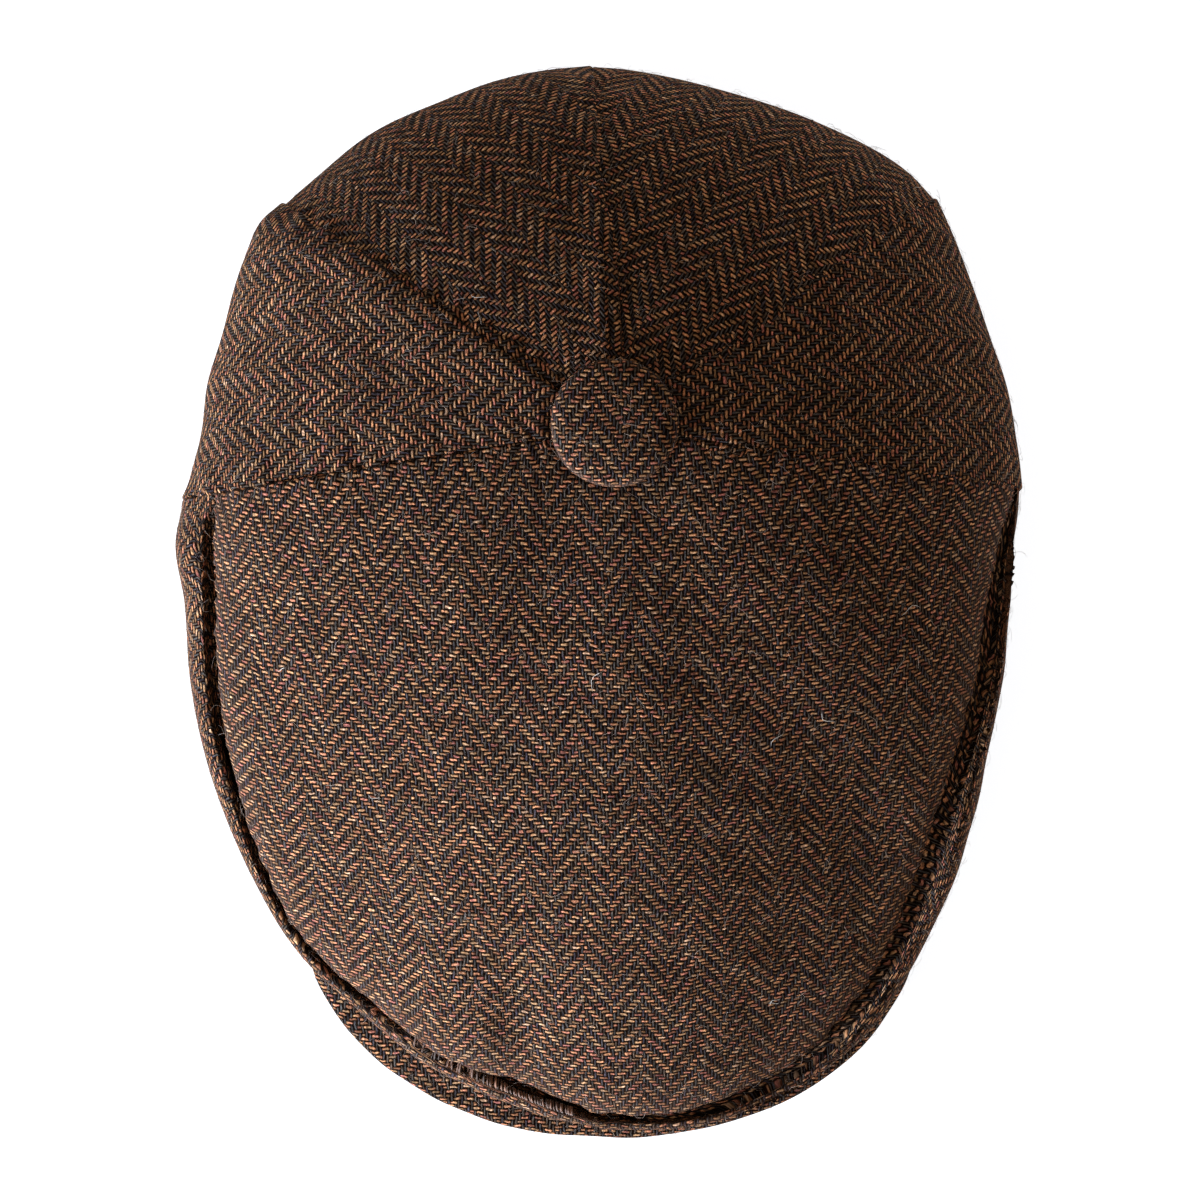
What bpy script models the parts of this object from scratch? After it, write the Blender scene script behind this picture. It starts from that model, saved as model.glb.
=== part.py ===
"""Flat cap with a covered button, lying on its rim as it would on a table.

Five crown panels meet under the button. Two side strips wrap from under the front panel's edge down
to the head opening and, in front, on to the peak. The band of the head opening carries them all.

Frame: metres, +Z up, the peak points to -Y, the origin is the middle of the cap's footprint on the
floor. Every crown section lies in an upright plane through the button's axis, so neighbouring panels
face each other across a seam gap of even width.
"""

from collections import namedtuple

import bpy
import bmesh
import numpy as np

# Overall sizes
CAP_LENGTH = 0.2873          # back of the crown to the tip of the peak
CAP_WIDTH = 0.2250           # across the side seams
CROWN_HEIGHT = 0.1040        # top of the crown, before the button pulls it in
BULGE_HEIGHT = 0.0460        # where the sides and the back reach furthest out
CLOTH_WALL = 0.0016          # lined tweed, one wall

# Head opening and its band
HEAD_LENGTH = 0.2000
HEAD_WIDTH = 0.1690
HEAD_X = 0.0010
HEAD_Y = 0.0184
BAND_WALL = 0.0020
BAND_HEIGHT = 0.0160
HEM_SHOWS = 0.0010           # the band stands this far below the panels
RIM_RUN = 0.0886             # from the peak's corners the rim comes down to the floor in this length

# Peak
PEAK_THICKNESS = 0.0036
PEAK_ARCH_RADIUS = 0.1900
PEAK_SLOPE = 0.2000          # fall of the peak for each metre forward
PEAK_MIDDLE_X = 0.0033
PEAK_CORNER_WIDTH = 0.0030   # the least that the peak stands out from the band

# Button and the crown round it
BUTTON_X = 0.0037            # the button's axis, where the panels meet
BUTTON_Y = 0.0459
BUTTON_DIAMETER = 0.0330
BUTTON_THICKNESS = 0.0080
BUTTON_SETBACK = 0.0010      # the button sits a little behind the panels' meeting point
BUTTON_FOOT = 0.0130         # radius of the button's flat underside
SHANK_DIAMETER = 0.0050
SHANK_LENGTH = 0.0060
CROWN_HOLE_RADIUS = 0.0045   # opening under the button for its shank
DIMPLE_RADIUS = 0.0200       # the button pulls the crown in this far round its axis
DIMPLE_DEPTH = 0.0025

# Clearances, seams and edges
SEAM_GAP = 0.0003            # between neighbouring crown panels
FIT_GAP = 0.0003             # between a piece and what carries it
STRIP_TUCK = 0.0015          # a strip starts this far under the front panel's edge
STRIP_SINK = 0.0029          # and this deep below the crown's surface
ROLL_WIDTH = 0.0060          # the front panel rolls over along its edge
ROLL_DEPTH = 0.0008
LIP_WIDTH = 0.0200           # a proud panel levels out over this width from its seam
FOLD_DEPTH = 0.0040          # a strip's fold above the peak, front to back
FOOT_LEAD = 0.0086           # a strip is up on the peak this far behind the peak's corner
FOOT_RUN = 0.0260            # and climbs to it over this length
FOLD_RUN = 0.0420            # from there forward the strip comes down to lie on the peak

# Shares of the crown's under side
BULGE_HANG = 0.45            # how much of the drop hangs plumb below the bulge
BAND_HUG = 0.35              # how much of the drop lies against the band
FOLD_SHARE = 0.40            # how many of the steps go into a strip's fold

# How the crown's shape changes from a dome, behind, to a slope, in front
DOME_SPREAD = 2.2
DOME_ROUND = 0.55
SLOPE_SPREAD = 1.8
SLOPE_ROUND = 0.90

# Steps along the pieces
STRIP_SECTIONS = 21
PANEL_SECTIONS = 13
FRONT_STEPS = 14
TOP_STEPS = 12
UNDER_STEPS = 7
STRIP_STEPS = 6
FOLD_STEPS = 9
BAND_STEPS = 72
PEAK_SECTIONS = 37
PEAK_STEPS = 5
BUTTON_STEPS = 32

# The crown's outline from above. across and along are shares of half the cap's width and length,
# edge is where the front panel ends, as a share of the way from the button to the outline, bulge is
# the outline's height as a share of BULGE_HEIGHT, and slope goes from 0 for a dome to 1 for a slope.
Place = namedtuple("Place", "across along edge bulge slope")

OUTLINE = {
    "back_left": [
        Place(-0.017, 1.000, 1, 0.93, 0),
        Place(-0.177, 0.983, 1, 0.94, 0),
        Place(-0.383, 0.931, 1, 0.95, 0),
        Place(-0.566, 0.857, 1, 0.97, 0),
        Place(-0.684, 0.782, 1, 0.99, 0),
        Place(-0.743, 0.743, 1, 1.00, 0),
    ],
    "side_left": [
        Place(-0.743, 0.743, 1, 1.00, 0),
        Place(-0.797, 0.708, 1, 1.00, 0),
        Place(-0.846, 0.634, 1, 1.00, 0),
        Place(-0.884, 0.523, 1, 1.00, 0),
        Place(-0.924, 0.413, 1, 1.00, 0),
        Place(-0.946, 0.302, 1, 1.00, 0),
        Place(-0.986, 0.195, 1, 1.00, 0),
    ],
    "strip_left": [
        Place(-0.986, 0.195, 0.920, 1.00, 0.00),
        Place(-1.000, 0.112, 0.917, 0.98, 0.05),
        Place(-0.982, 0.006, 0.931, 0.96, 0.12),
        Place(-0.971, -0.120, 0.940, 0.93, 0.25),
        Place(-0.941, -0.253, 0.953, 0.87, 0.40),
        Place(-0.900, -0.365, 0.959, 0.79, 0.55),
        Place(-0.826, -0.514, 0.972, 0.64, 0.72),
        Place(-0.740, -0.628, 0.978, 0.50, 0.84),
        Place(-0.686, -0.681, 0.978, 0.43, 0.90),
        Place(-0.560, -0.769, 0.975, 0.38, 0.95),
        Place(-0.414, -0.860, 0.978, 0.38, 1.00),
        Place(-0.199, -0.940, 0.978, 0.41, 1.00),
        Place(0.000, -0.983, 0.980, 0.43, 1.00),
    ],
    "strip_right": [
        Place(0.000, -0.983, 0.980, 0.43, 1.00),
        Place(0.172, -0.979, 0.986, 0.43, 1.00),
        Place(0.352, -0.946, 0.985, 0.41, 1.00),
        Place(0.555, -0.860, 0.980, 0.38, 1.00),
        Place(0.658, -0.788, 0.965, 0.38, 0.95),
        Place(0.728, -0.702, 0.960, 0.43, 0.90),
        Place(0.802, -0.590, 0.950, 0.53, 0.80),
        Place(0.857, -0.477, 0.943, 0.67, 0.66),
        Place(0.913, -0.290, 0.958, 0.84, 0.42),
        Place(0.949, -0.142, 0.966, 0.93, 0.25),
        Place(0.965, 0.006, 0.977, 0.97, 0.12),
        Place(0.976, 0.112, 0.984, 0.99, 0.05),
        Place(1.000, 0.213, 0.984, 1.00, 0.00),
    ],
    "side_right": [
        Place(1.000, 0.213, 1, 1.00, 0),
        Place(0.981, 0.302, 1, 1.00, 0),
        Place(0.955, 0.413, 1, 1.00, 0),
        Place(0.917, 0.500, 1, 1.00, 0),
        Place(0.872, 0.597, 1, 1.00, 0),
        Place(0.839, 0.671, 1, 1.00, 0),
        Place(0.795, 0.752, 1, 1.00, 0),
    ],
    "back_right": [
        Place(0.795, 0.752, 1, 1.00, 0),
        Place(0.696, 0.819, 1, 0.98, 0),
        Place(0.510, 0.894, 1, 0.96, 0),
        Place(0.210, 0.968, 1, 0.94, 0),
        Place(-0.017, 1.000, 1, 0.93, 0),
    ],
}

# The peak's outer edge, in the same shares, from its left corner round the tip to its right corner.
Corner = namedtuple("Corner", "across along")

PEAK_OUTLINE = [
    Corner(-0.711, -0.199),
    Corner(-0.722, -0.400),
    Corner(-0.719, -0.550),
    Corner(-0.704, -0.650),
    Corner(-0.682, -0.711),
    Corner(-0.619, -0.786),
    Corner(-0.530, -0.861),
    Corner(-0.380, -0.936),
    Corner(-0.259, -0.972),
    Corner(0.024, -1.000),
    Corner(0.315, -0.972),
    Corner(0.443, -0.936),
    Corner(0.590, -0.861),
    Corner(0.682, -0.786),
    Corner(0.740, -0.711),
    Corner(0.757, -0.650),
    Corner(0.765, -0.550),
    Corner(0.757, -0.400),
    Corner(0.731, -0.199),
]

# Soft buckles of the front panel above the peak. rise and the two widths are in metres.
Buckle = namedtuple("Buckle", "across along rise half_across half_along")

BUCKLES = [
    Buckle(-0.265, -0.800, -0.0016, 0.0055, 0.0160),
    Buckle(0.280, -0.850, -0.0016, 0.0070, 0.0170),
    Buckle(-0.470, -0.690, 0.0010, 0.0100, 0.0120),
    Buckle(-0.030, -0.830, 0.0012, 0.0160, 0.0110),
]

# How far a panel stands proud along its first and its last seam, in metres.
Lips = namedtuple("Lips", "first last")

PANEL_LIPS = {
    "back_left": Lips(0.0000, -0.0008),
    "side_left": Lips(0.0012, 0.0000),
    "side_right": Lips(0.0000, 0.0000),
    "back_right": Lips(0.0000, 0.0000),
}

# The button's outline, as shares of its radius and thickness, from the top down to the underside.
Turn = namedtuple("Turn", "out up")

BUTTON_DOME = [
    Turn(0.000, 1.000),
    Turn(0.300, 0.985),
    Turn(0.550, 0.945),
    Turn(0.740, 0.880),
    Turn(0.880, 0.780),
    Turn(0.965, 0.630),
    Turn(1.000, 0.450),
    Turn(0.980, 0.250),
    Turn(0.910, 0.080),
]

TWEED = (0.093, 0.052, 0.037)
TWEED_LIGHT = (0.120, 0.070, 0.050)
TWEED_DARK = (0.060, 0.036, 0.028)
TWEED_ROUGHNESS = 0.92


def fade(value):
    """Smooth step: 0 below 0, 1 above 1, with level ends."""
    share = np.clip(value, 0.0, 1.0)
    return share * share * (3.0 - 2.0 * share)


def follow(rows, count):
    """Read a table's columns at even steps of its outline, along a smooth curve through its rows."""
    table = np.array(rows, dtype=float)
    plan = table[:, :2] * (CAP_WIDTH / 2, CAP_LENGTH / 2)
    steps = np.linalg.norm(np.diff(plan, axis=0), axis=1)
    along = np.concatenate(([0.0], np.cumsum(steps)))
    tangents = np.gradient(table, along, axis=0)
    where = np.linspace(0.0, along[-1], count)
    span = np.clip(np.searchsorted(along, where, side="right") - 1, 0, len(rows) - 2)
    width = (along[span + 1] - along[span])[:, None]
    share = (where - along[span])[:, None] / width
    blend_end = share * share * (3.0 - 2.0 * share)
    leave = share * (1.0 - share) ** 2 * width
    arrive = share * share * (share - 1.0) * width
    start, end = table[span], table[span + 1]
    return start * (1.0 - blend_end) + end * blend_end + leave * tangents[span] + arrive * tangents[span + 1]


def outline_plan(columns):
    """Plan positions of outline places, in metres."""
    return columns[:, :2] * (CAP_WIDTH / 2, CAP_LENGTH / 2)


def reach_band(centre, towards, clearance):
    """Distance from centre, along unit directions, to the band's outer wall plus a clearance."""
    half = np.array([HEAD_WIDTH, HEAD_LENGTH]) / 2 + BAND_WALL + clearance
    start = (np.array(centre) - (HEAD_X, HEAD_Y)) / half
    ray = towards / half
    square = (ray ** 2).sum(axis=1)
    cross = ray @ start
    rest = (start ** 2).sum() - 1.0
    return (-cross + np.sqrt(cross ** 2 - square * rest)) / square


def peak_rays():
    """From the middle of the head opening: unit directions to the peak's edge, where the peak starts
    outside the band, and where its flat faces end."""
    centre = (HEAD_X, HEAD_Y)
    offset = outline_plan(follow(PEAK_OUTLINE, PEAK_SECTIONS)) - centre
    reach = np.linalg.norm(offset, axis=1)
    towards = offset / reach[:, None]
    root = reach_band(centre, towards, FIT_GAP)
    return towards, root, np.maximum(reach, root + PEAK_CORNER_WIDTH) - PEAK_THICKNESS / 2


def peak_nose():
    """The half round edge of the peak: how far it stands out and up from its flat underside's end."""
    bend = np.radians([-60, -30, 0, 30, 60])
    return PEAK_THICKNESS / 2 * np.cos(bend), PEAK_THICKNESS / 2 * (1 + np.sin(bend))


def arch(x, y):
    """Height of the peak's underside before it is set down on the floor."""
    across = x - PEAK_MIDDLE_X
    sag = PEAK_ARCH_RADIUS - np.sqrt(PEAK_ARCH_RADIUS ** 2 - across ** 2)
    return PEAK_SLOPE * y - sag


def peak_under(x, y):
    """Height of the peak's underside: an arch that falls forward until its flanks touch the floor."""
    towards, _, flat_reach = peak_rays()
    out, up = peak_nose()
    distance = flat_reach[:, None] + np.append(0.0, out)
    plan = np.array([HEAD_X, HEAD_Y]) + towards[:, None, :] * distance[..., None]
    lowest = (arch(plan[..., 0], plan[..., 1]) + np.append(0.0, up)).min()
    return arch(x, y) - lowest


def peak_corner_y():
    """Where the peak's outer edge comes back to the band."""
    return max(corner.along for corner in PEAK_OUTLINE) * CAP_LENGTH / 2


def rim_height(x, y):
    """Height of the head opening's rim: flat on the floor behind, carried up by the peak in front."""
    rise = fade((peak_corner_y() + RIM_RUN - y) / RIM_RUN)
    return peak_under(x, y) * rise


def rays(columns):
    """Unit directions and lengths from the button's axis to the outline."""
    offset = outline_plan(columns) - (BUTTON_X, BUTTON_Y)
    reach = np.linalg.norm(offset, axis=1)
    return offset / reach[:, None], reach


def along_rays(towards, distance):
    """Plan positions at distances along the crown's rays."""
    return np.array([BUTTON_X, BUTTON_Y]) + towards[:, None, :] * distance[..., None]


def crown_top(columns, distance):
    """The crown's height over its rays: a dome behind and at the sides, a slope in front, and a
    dimple under the button."""
    _, reach = rays(columns)
    shares = np.minimum(distance / reach[:, None], 1.0)
    slope = columns[:, 4:5]
    spread = DOME_SPREAD + slope * (SLOPE_SPREAD - DOME_SPREAD)
    roundness = DOME_ROUND + slope * (SLOPE_ROUND - DOME_ROUND)
    bulge = columns[:, 3:4] * BULGE_HEIGHT
    dimple = DIMPLE_DEPTH * (1 - fade(distance / DIMPLE_RADIUS))
    return bulge + (CROWN_HEIGHT - bulge) * (1.0 - shares ** spread) ** roundness - dimple


def tuck_to_band(reach, bulge, end, low, share):
    """Side or back: a bent curve from the bulge, down and in, that ends upright along the band."""
    drop = bulge - low
    control = (
        np.stack([reach, bulge], axis=1),
        np.stack([reach, bulge - BULGE_HANG * drop], axis=1),
        np.stack([end, low + BAND_HUG * drop], axis=1),
        np.stack([end, low], axis=1),
    )
    share = share[None, :, None]
    weights = ((1 - share) ** 3, 3 * share * (1 - share) ** 2, 3 * share ** 2 * (1 - share), share ** 3)
    return sum(weight * point[:, None, :] for weight, point in zip(weights, control))


def over_peak(towards, distance):
    """Lowest height of cloth that lies on the peak, at distances along the crown's rays."""
    plan = along_rays(towards, distance)
    return np.maximum(peak_under(plan[..., 0], plan[..., 1]), 0.0) + PEAK_THICKNESS + FIT_GAP


def fold_on_peak(towards, reach, bulge, end, share):
    """Front: a quarter oval from the bulge down to the peak, then flat along the peak to the band."""
    turn = np.minimum(share / FOLD_SHARE, 1.0) * np.pi / 2
    run = np.clip((share - FOLD_SHARE) / (1 - FOLD_SHARE), 0.0, 1.0)
    distance = reach[:, None] - FOLD_DEPTH * (1 - np.cos(turn))
    distance -= (reach - FOLD_DEPTH - end)[:, None] * run
    rest = over_peak(towards, distance)
    stand = np.maximum(bulge[:, None] - over_peak(towards, reach[:, None]), 0.0)
    return np.stack([distance, rest + stand * (1 - np.sin(turn))], axis=2)


def crown_under(columns, steps):
    """The crown below its bulge: it tucks in to the band, or comes to lie on the peak."""
    towards, reach = rays(columns)
    bulge = columns[:, 3] * BULGE_HEIGHT
    end = reach_band((BUTTON_X, BUTTON_Y), towards, FIT_GAP + CLOTH_WALL)
    foot = along_rays(towards, end[:, None])[:, 0]
    on_peak_from = peak_corner_y() + FOOT_LEAD
    on_peak = fade((on_peak_from + FOOT_RUN - foot[:, 1]) / FOOT_RUN)
    folded = fade((on_peak_from - foot[:, 1]) / FOLD_RUN)[:, None, None]
    hem = rim_height(foot[:, 0], foot[:, 1]) + HEM_SHOWS
    low = hem + on_peak * (over_peak(towards, end[:, None])[:, 0] - hem)
    share = np.linspace(0.0, 1.0, steps + 1)[1:]
    hang = tuck_to_band(reach, bulge, end, low, share)
    fold = fold_on_peak(towards, reach, bulge, end, share)
    return hang + folded * (fold - hang)


def inwards(profile, depth):
    """Sections moved square to themselves, each in its own upright plane, by a depth."""
    along = np.gradient(profile, axis=1)
    along /= np.linalg.norm(along, axis=2, keepdims=True)
    outwards = np.stack([-along[..., 1], along[..., 0]], axis=2)
    return profile - depth * outwards


def place_sections(columns, profile):
    """Turn (distance, height) sections into points, the end ones moved aside by half a seam gap."""
    towards, _ = rays(columns)
    aside = np.stack([-towards[:, 1], towards[:, 0]], axis=1)
    shift = np.zeros(len(columns))
    shift[0] = SEAM_GAP / 2
    shift[-1] = -SEAM_GAP / 2
    plan = along_rays(towards, profile[..., 0]) + aside[:, None, :] * shift[:, None, None]
    return np.concatenate([plan, profile[..., 1:]], axis=2)


def buckle(points):
    """Rise of the front panel's soft buckles at given points."""
    rise = np.zeros(points.shape[:2])
    for row in BUCKLES:
        across = (points[..., 0] - row.across * CAP_WIDTH / 2) / row.half_across
        along = (points[..., 1] - row.along * CAP_LENGTH / 2) / row.half_along
        rise += row.rise * np.exp(-0.5 * (across ** 2 + along ** 2))
    return rise


def new_object(name, mesh, colour):
    """Put a mesh into the scene as a named cloth piece with its own material."""
    material = bpy.data.materials.new(name + "_cloth")
    material.use_nodes = True
    shader = material.node_tree.nodes["Principled BSDF"]
    shader.inputs["Base Color"].default_value = (*colour, 1.0)
    shader.inputs["Roughness"].default_value = TWEED_ROUGHNESS
    mesh.materials.append(material)
    mesh.shade_smooth()
    mesh.set_sharp_from_angle(angle=np.radians(50))
    piece = bpy.data.objects.new(name, mesh)
    bpy.data.collections["flat_cap"].objects.link(piece)
    piece.parent = bpy.data.objects["cap_frame"]
    return piece


def finish_mesh(name, points, faces):
    """Make a mesh of points and faces, and point its faces outwards."""
    mesh = bpy.data.meshes.new(name)
    mesh.from_pydata(points.tolist(), [], faces)
    work = bmesh.new()
    work.from_mesh(mesh)
    bmesh.ops.recalc_face_normals(work, faces=work.faces)
    work.to_mesh(mesh)
    work.free()
    return mesh


def grid_faces(number):
    """Quads of a grid of point numbers."""
    return np.stack([number[:-1, :-1], number[1:, :-1], number[1:, 1:], number[:-1, 1:]], axis=2).reshape(-1, 4)


def add_cloth(name, columns, profile, rise_shares, colour):
    """A cloth wall: a loft of unlike sections, its outside and inside joined all round the border."""
    outer = place_sections(columns, profile)
    inner = place_sections(columns, inwards(profile, CLOTH_WALL))
    rise = buckle(outer) * rise_shares
    outer[..., 2] += rise
    inner[..., 2] += rise
    number = np.arange(outer.shape[0] * outer.shape[1]).reshape(outer.shape[:2])
    beneath = number + number.size
    ring = np.concatenate([number[:-1, 0], number[-1, :-1], number[:0:-1, -1], number[0, :0:-1]])
    ahead = np.roll(ring, -1)
    border = np.stack([ring, ahead, ahead + number.size, ring + number.size], axis=1)
    faces = np.concatenate([grid_faces(number), grid_faces(beneath)[:, ::-1], border])
    points = np.concatenate([outer.reshape(-1, 3), inner.reshape(-1, 3)])
    return new_object(name, finish_mesh(name, points, faces.tolist()), colour)


def crown_distances(start, end, steps):
    """Distances along the rays that crowd towards their end, where a dome turns down."""
    shares = np.sin(np.linspace(0.0, np.pi / 2, steps + 1))
    return start + (end[:, None] - start) * shares


def add_panel(name, stretch, colour):
    """A side or back panel: from the hole under the button, over the bulge, down to the band."""
    columns = follow(OUTLINE[stretch], PANEL_SECTIONS)
    _, reach = rays(columns)
    distance = crown_distances(CROWN_HOLE_RADIUS, reach, TOP_STEPS)
    share = distance / reach[:, None]
    plan = outline_plan(columns)
    lips = PANEL_LIPS[stretch]
    from_first = np.linalg.norm(plan - plan[0], axis=1)[:, None] * share
    from_last = np.linalg.norm(plan - plan[-1], axis=1)[:, None] * share
    proud = lips.first * (1 - fade(from_first / LIP_WIDTH)) + lips.last * (1 - fade(from_last / LIP_WIDTH))
    height = crown_top(columns, distance) + proud * fade(3 * share) * fade(6 * (1 - share))
    top = np.stack([distance, height], axis=2)
    profile = np.concatenate([top, crown_under(columns, UNDER_STEPS)], axis=1)
    add_cloth(name, columns, profile, 0.0, colour)


def add_front_panel():
    """The large front panel: from the hole under the button to its rolled edge over the strips."""
    left = follow(OUTLINE["strip_left"], STRIP_SECTIONS)
    right = follow(OUTLINE["strip_right"], STRIP_SECTIONS)
    columns = np.concatenate([left, right[1:]])
    _, reach = rays(columns)
    edge = columns[:, 2] * reach
    distance = crown_distances(CROWN_HOLE_RADIUS, edge, FRONT_STEPS)
    roll = ROLL_DEPTH * (1 - fade((edge[:, None] - distance) / ROLL_WIDTH))
    profile = np.stack([distance, crown_top(columns, distance) - roll], axis=2)
    add_cloth("front_panel", columns, profile, 1.0, TWEED)


def add_strip(name, stretch, colour):
    """A side strip: from under the front panel's edge, over the bulge, to the band or the peak."""
    columns = follow(OUTLINE[stretch], STRIP_SECTIONS)
    _, reach = rays(columns)
    edge = columns[:, 2:3] * reach[:, None]
    distance = crown_distances(edge - STRIP_TUCK, reach, STRIP_STEPS)
    shown = np.clip((distance - edge) / (reach[:, None] - edge), 0.0, 1.0)
    crown = np.stack([distance, crown_top(columns, distance)], axis=2)
    top = inwards(crown, STRIP_SINK * (1 - fade(shown))[..., None])
    profile = np.concatenate([top, crown_under(columns, FOLD_STEPS)], axis=1)
    follows_panel = np.concatenate([1.0 - shown, np.zeros((len(columns), FOLD_STEPS))], axis=1)
    add_cloth(name, columns, profile, follows_panel, colour)


def add_peak():
    """The peak: sections from the band out to the edge, each closed and with a rounded nose."""
    towards, root, flat_reach = peak_rays()
    out, up = peak_nose()
    flat = root[:, None] + (flat_reach - root)[:, None] * np.linspace(0.0, 1.0, PEAK_STEPS + 1)
    distance = np.concatenate([flat, flat_reach[:, None] + out, flat[:, ::-1]], axis=1)
    thick = np.concatenate([np.zeros(PEAK_STEPS + 1), up, np.full(PEAK_STEPS + 1, PEAK_THICKNESS)])
    plan = np.array([HEAD_X, HEAD_Y]) + towards[:, None, :] * distance[..., None]
    height = peak_under(plan[..., 0], plan[..., 1]) + thick
    points = np.concatenate([plan, height[..., None]], axis=2)
    number = np.arange(height.size).reshape(height.shape)
    around = grid_faces(np.concatenate([number, number[:, :1]], axis=1))
    half = height.shape[1] // 2
    ends = []
    for row in (number[0], number[-1]):
        ends += grid_faces(np.stack([row[:half], row[:half:-1]])).tolist()
        ends.append(row[half - 1:half + 2].tolist())
    new_object("peak", finish_mesh("peak", points.reshape(-1, 3), around.tolist() + ends), TWEED_LIGHT)


def button_seat():
    """Height of the button's flat underside: just clear of the crown that it presses on."""
    columns = np.concatenate([follow(rows, PANEL_SECTIONS) for rows in OUTLINE.values()])
    _, reach = rays(columns)
    under = np.repeat([[CROWN_HOLE_RADIUS, BUTTON_FOOT, BUTTON_FOOT + BUTTON_SETBACK]], len(reach), axis=0)
    return crown_top(columns, under).max() + FIT_GAP


def add_button():
    """The covered button: a flat dome turned about its axis, with a short shank through the crown."""
    dome = [(row.out * BUTTON_DIAMETER / 2, row.up * BUTTON_THICKNESS) for row in BUTTON_DOME]
    shank = SHANK_DIAMETER / 2
    outline = dome + [(BUTTON_FOOT, 0.0), (shank, 0.0), (shank, -SHANK_LENGTH), (0.0, -SHANK_LENGTH)]
    seat = button_seat()
    points = [(out, 0.0, seat + up) for out, up in outline]
    mesh = bpy.data.meshes.new("button")
    mesh.from_pydata(points, [(step, step + 1) for step in range(len(points) - 1)], [])
    piece = new_object("button", mesh, TWEED_LIGHT)
    piece.location = (BUTTON_X, BUTTON_Y + BUTTON_SETBACK, 0.0)
    turn = piece.modifiers.new("turned about its axis", "SCREW")
    turn.steps = BUTTON_STEPS
    turn.render_steps = BUTTON_STEPS
    turn.use_merge_vertices = True
    turn.merge_threshold = 0.00001


def add_head_band():
    """The band round the head opening: an oval ring whose lower edge follows the rim."""
    angle = np.linspace(0.0, 2.0 * np.pi, BAND_STEPS, endpoint=False)
    circle = np.stack([np.cos(angle), np.sin(angle)], axis=1)
    half = np.array([HEAD_WIDTH, HEAD_LENGTH]) / 2
    inside = circle * half + (HEAD_X, HEAD_Y)
    outside = circle * (half + BAND_WALL) + (HEAD_X, HEAD_Y)
    low = rim_height(outside[:, 0], outside[:, 1])
    corners = ((inside, low), (outside, low), (outside, low + BAND_HEIGHT), (inside, low + BAND_HEIGHT))
    points = np.stack([np.column_stack(corner) for corner in corners], axis=1)
    number = np.arange(BAND_STEPS * 4).reshape(BAND_STEPS, 4)
    closed = np.pad(number, ((0, 1), (0, 1)), mode="wrap")
    mesh = finish_mesh("head_band", points.reshape(-1, 3), grid_faces(closed).tolist())
    new_object("head_band", mesh, TWEED_DARK)


def clear_scene():
    """Start from an empty scene with the cap's collection and the frame that its pieces hang on."""
    for thing in list(bpy.data.objects):
        bpy.data.objects.remove(thing, do_unlink=True)
    collection = bpy.data.collections.new("flat_cap")
    bpy.context.scene.collection.children.link(collection)
    frame = bpy.data.objects.new("cap_frame", None)
    collection.objects.link(frame)


def main():
    clear_scene()
    add_front_panel()
    add_panel("side_panel_left", "side_left", TWEED_LIGHT)
    add_panel("side_panel_right", "side_right", TWEED_DARK)
    add_panel("back_panel_left", "back_left", TWEED)
    add_panel("back_panel_right", "back_right", TWEED_DARK)
    add_strip("side_strip_left", "strip_left", TWEED_LIGHT)
    add_strip("side_strip_right", "strip_right", TWEED)
    add_peak()
    add_button()
    add_head_band()
    bpy.context.view_layer.update()


main()
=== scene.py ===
"""Looks of the flat cap: herringbone tweed on soft panels, with rolled seams, a covered button and
stray wool, lying by itself on a pale floor and seen from straight above.

Every cloth piece is a surface of two parameters, a column round the crown and a step down its
section. It is worked out as whole arrays, laid out flat to run its threads, and closed into a thin
shell with rounded edges. Metres throughout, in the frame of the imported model.
"""

from collections import namedtuple

import bpy
import numpy as np
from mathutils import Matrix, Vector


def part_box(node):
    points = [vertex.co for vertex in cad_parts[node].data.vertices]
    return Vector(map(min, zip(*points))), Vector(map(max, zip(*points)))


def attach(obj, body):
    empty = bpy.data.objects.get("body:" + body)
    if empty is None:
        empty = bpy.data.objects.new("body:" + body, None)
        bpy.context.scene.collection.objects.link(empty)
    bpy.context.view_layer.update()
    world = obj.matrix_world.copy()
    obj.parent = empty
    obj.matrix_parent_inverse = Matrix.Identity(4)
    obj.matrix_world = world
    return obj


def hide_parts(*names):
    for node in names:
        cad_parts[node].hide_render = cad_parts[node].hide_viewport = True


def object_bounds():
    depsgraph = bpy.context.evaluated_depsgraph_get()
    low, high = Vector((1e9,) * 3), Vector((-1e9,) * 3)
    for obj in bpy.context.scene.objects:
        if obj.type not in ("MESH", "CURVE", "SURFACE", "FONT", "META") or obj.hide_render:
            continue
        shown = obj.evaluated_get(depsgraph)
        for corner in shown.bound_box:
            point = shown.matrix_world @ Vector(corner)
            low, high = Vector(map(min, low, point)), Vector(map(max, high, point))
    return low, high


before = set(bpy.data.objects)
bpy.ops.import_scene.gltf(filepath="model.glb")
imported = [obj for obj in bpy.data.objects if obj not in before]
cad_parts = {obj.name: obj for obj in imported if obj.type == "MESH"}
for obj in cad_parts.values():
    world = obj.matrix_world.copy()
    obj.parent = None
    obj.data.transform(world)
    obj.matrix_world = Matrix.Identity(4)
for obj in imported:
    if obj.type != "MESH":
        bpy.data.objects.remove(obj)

cap_low, cap_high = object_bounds()
band_low, band_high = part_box("head_band")
button_low, button_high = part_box("button")

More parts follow.
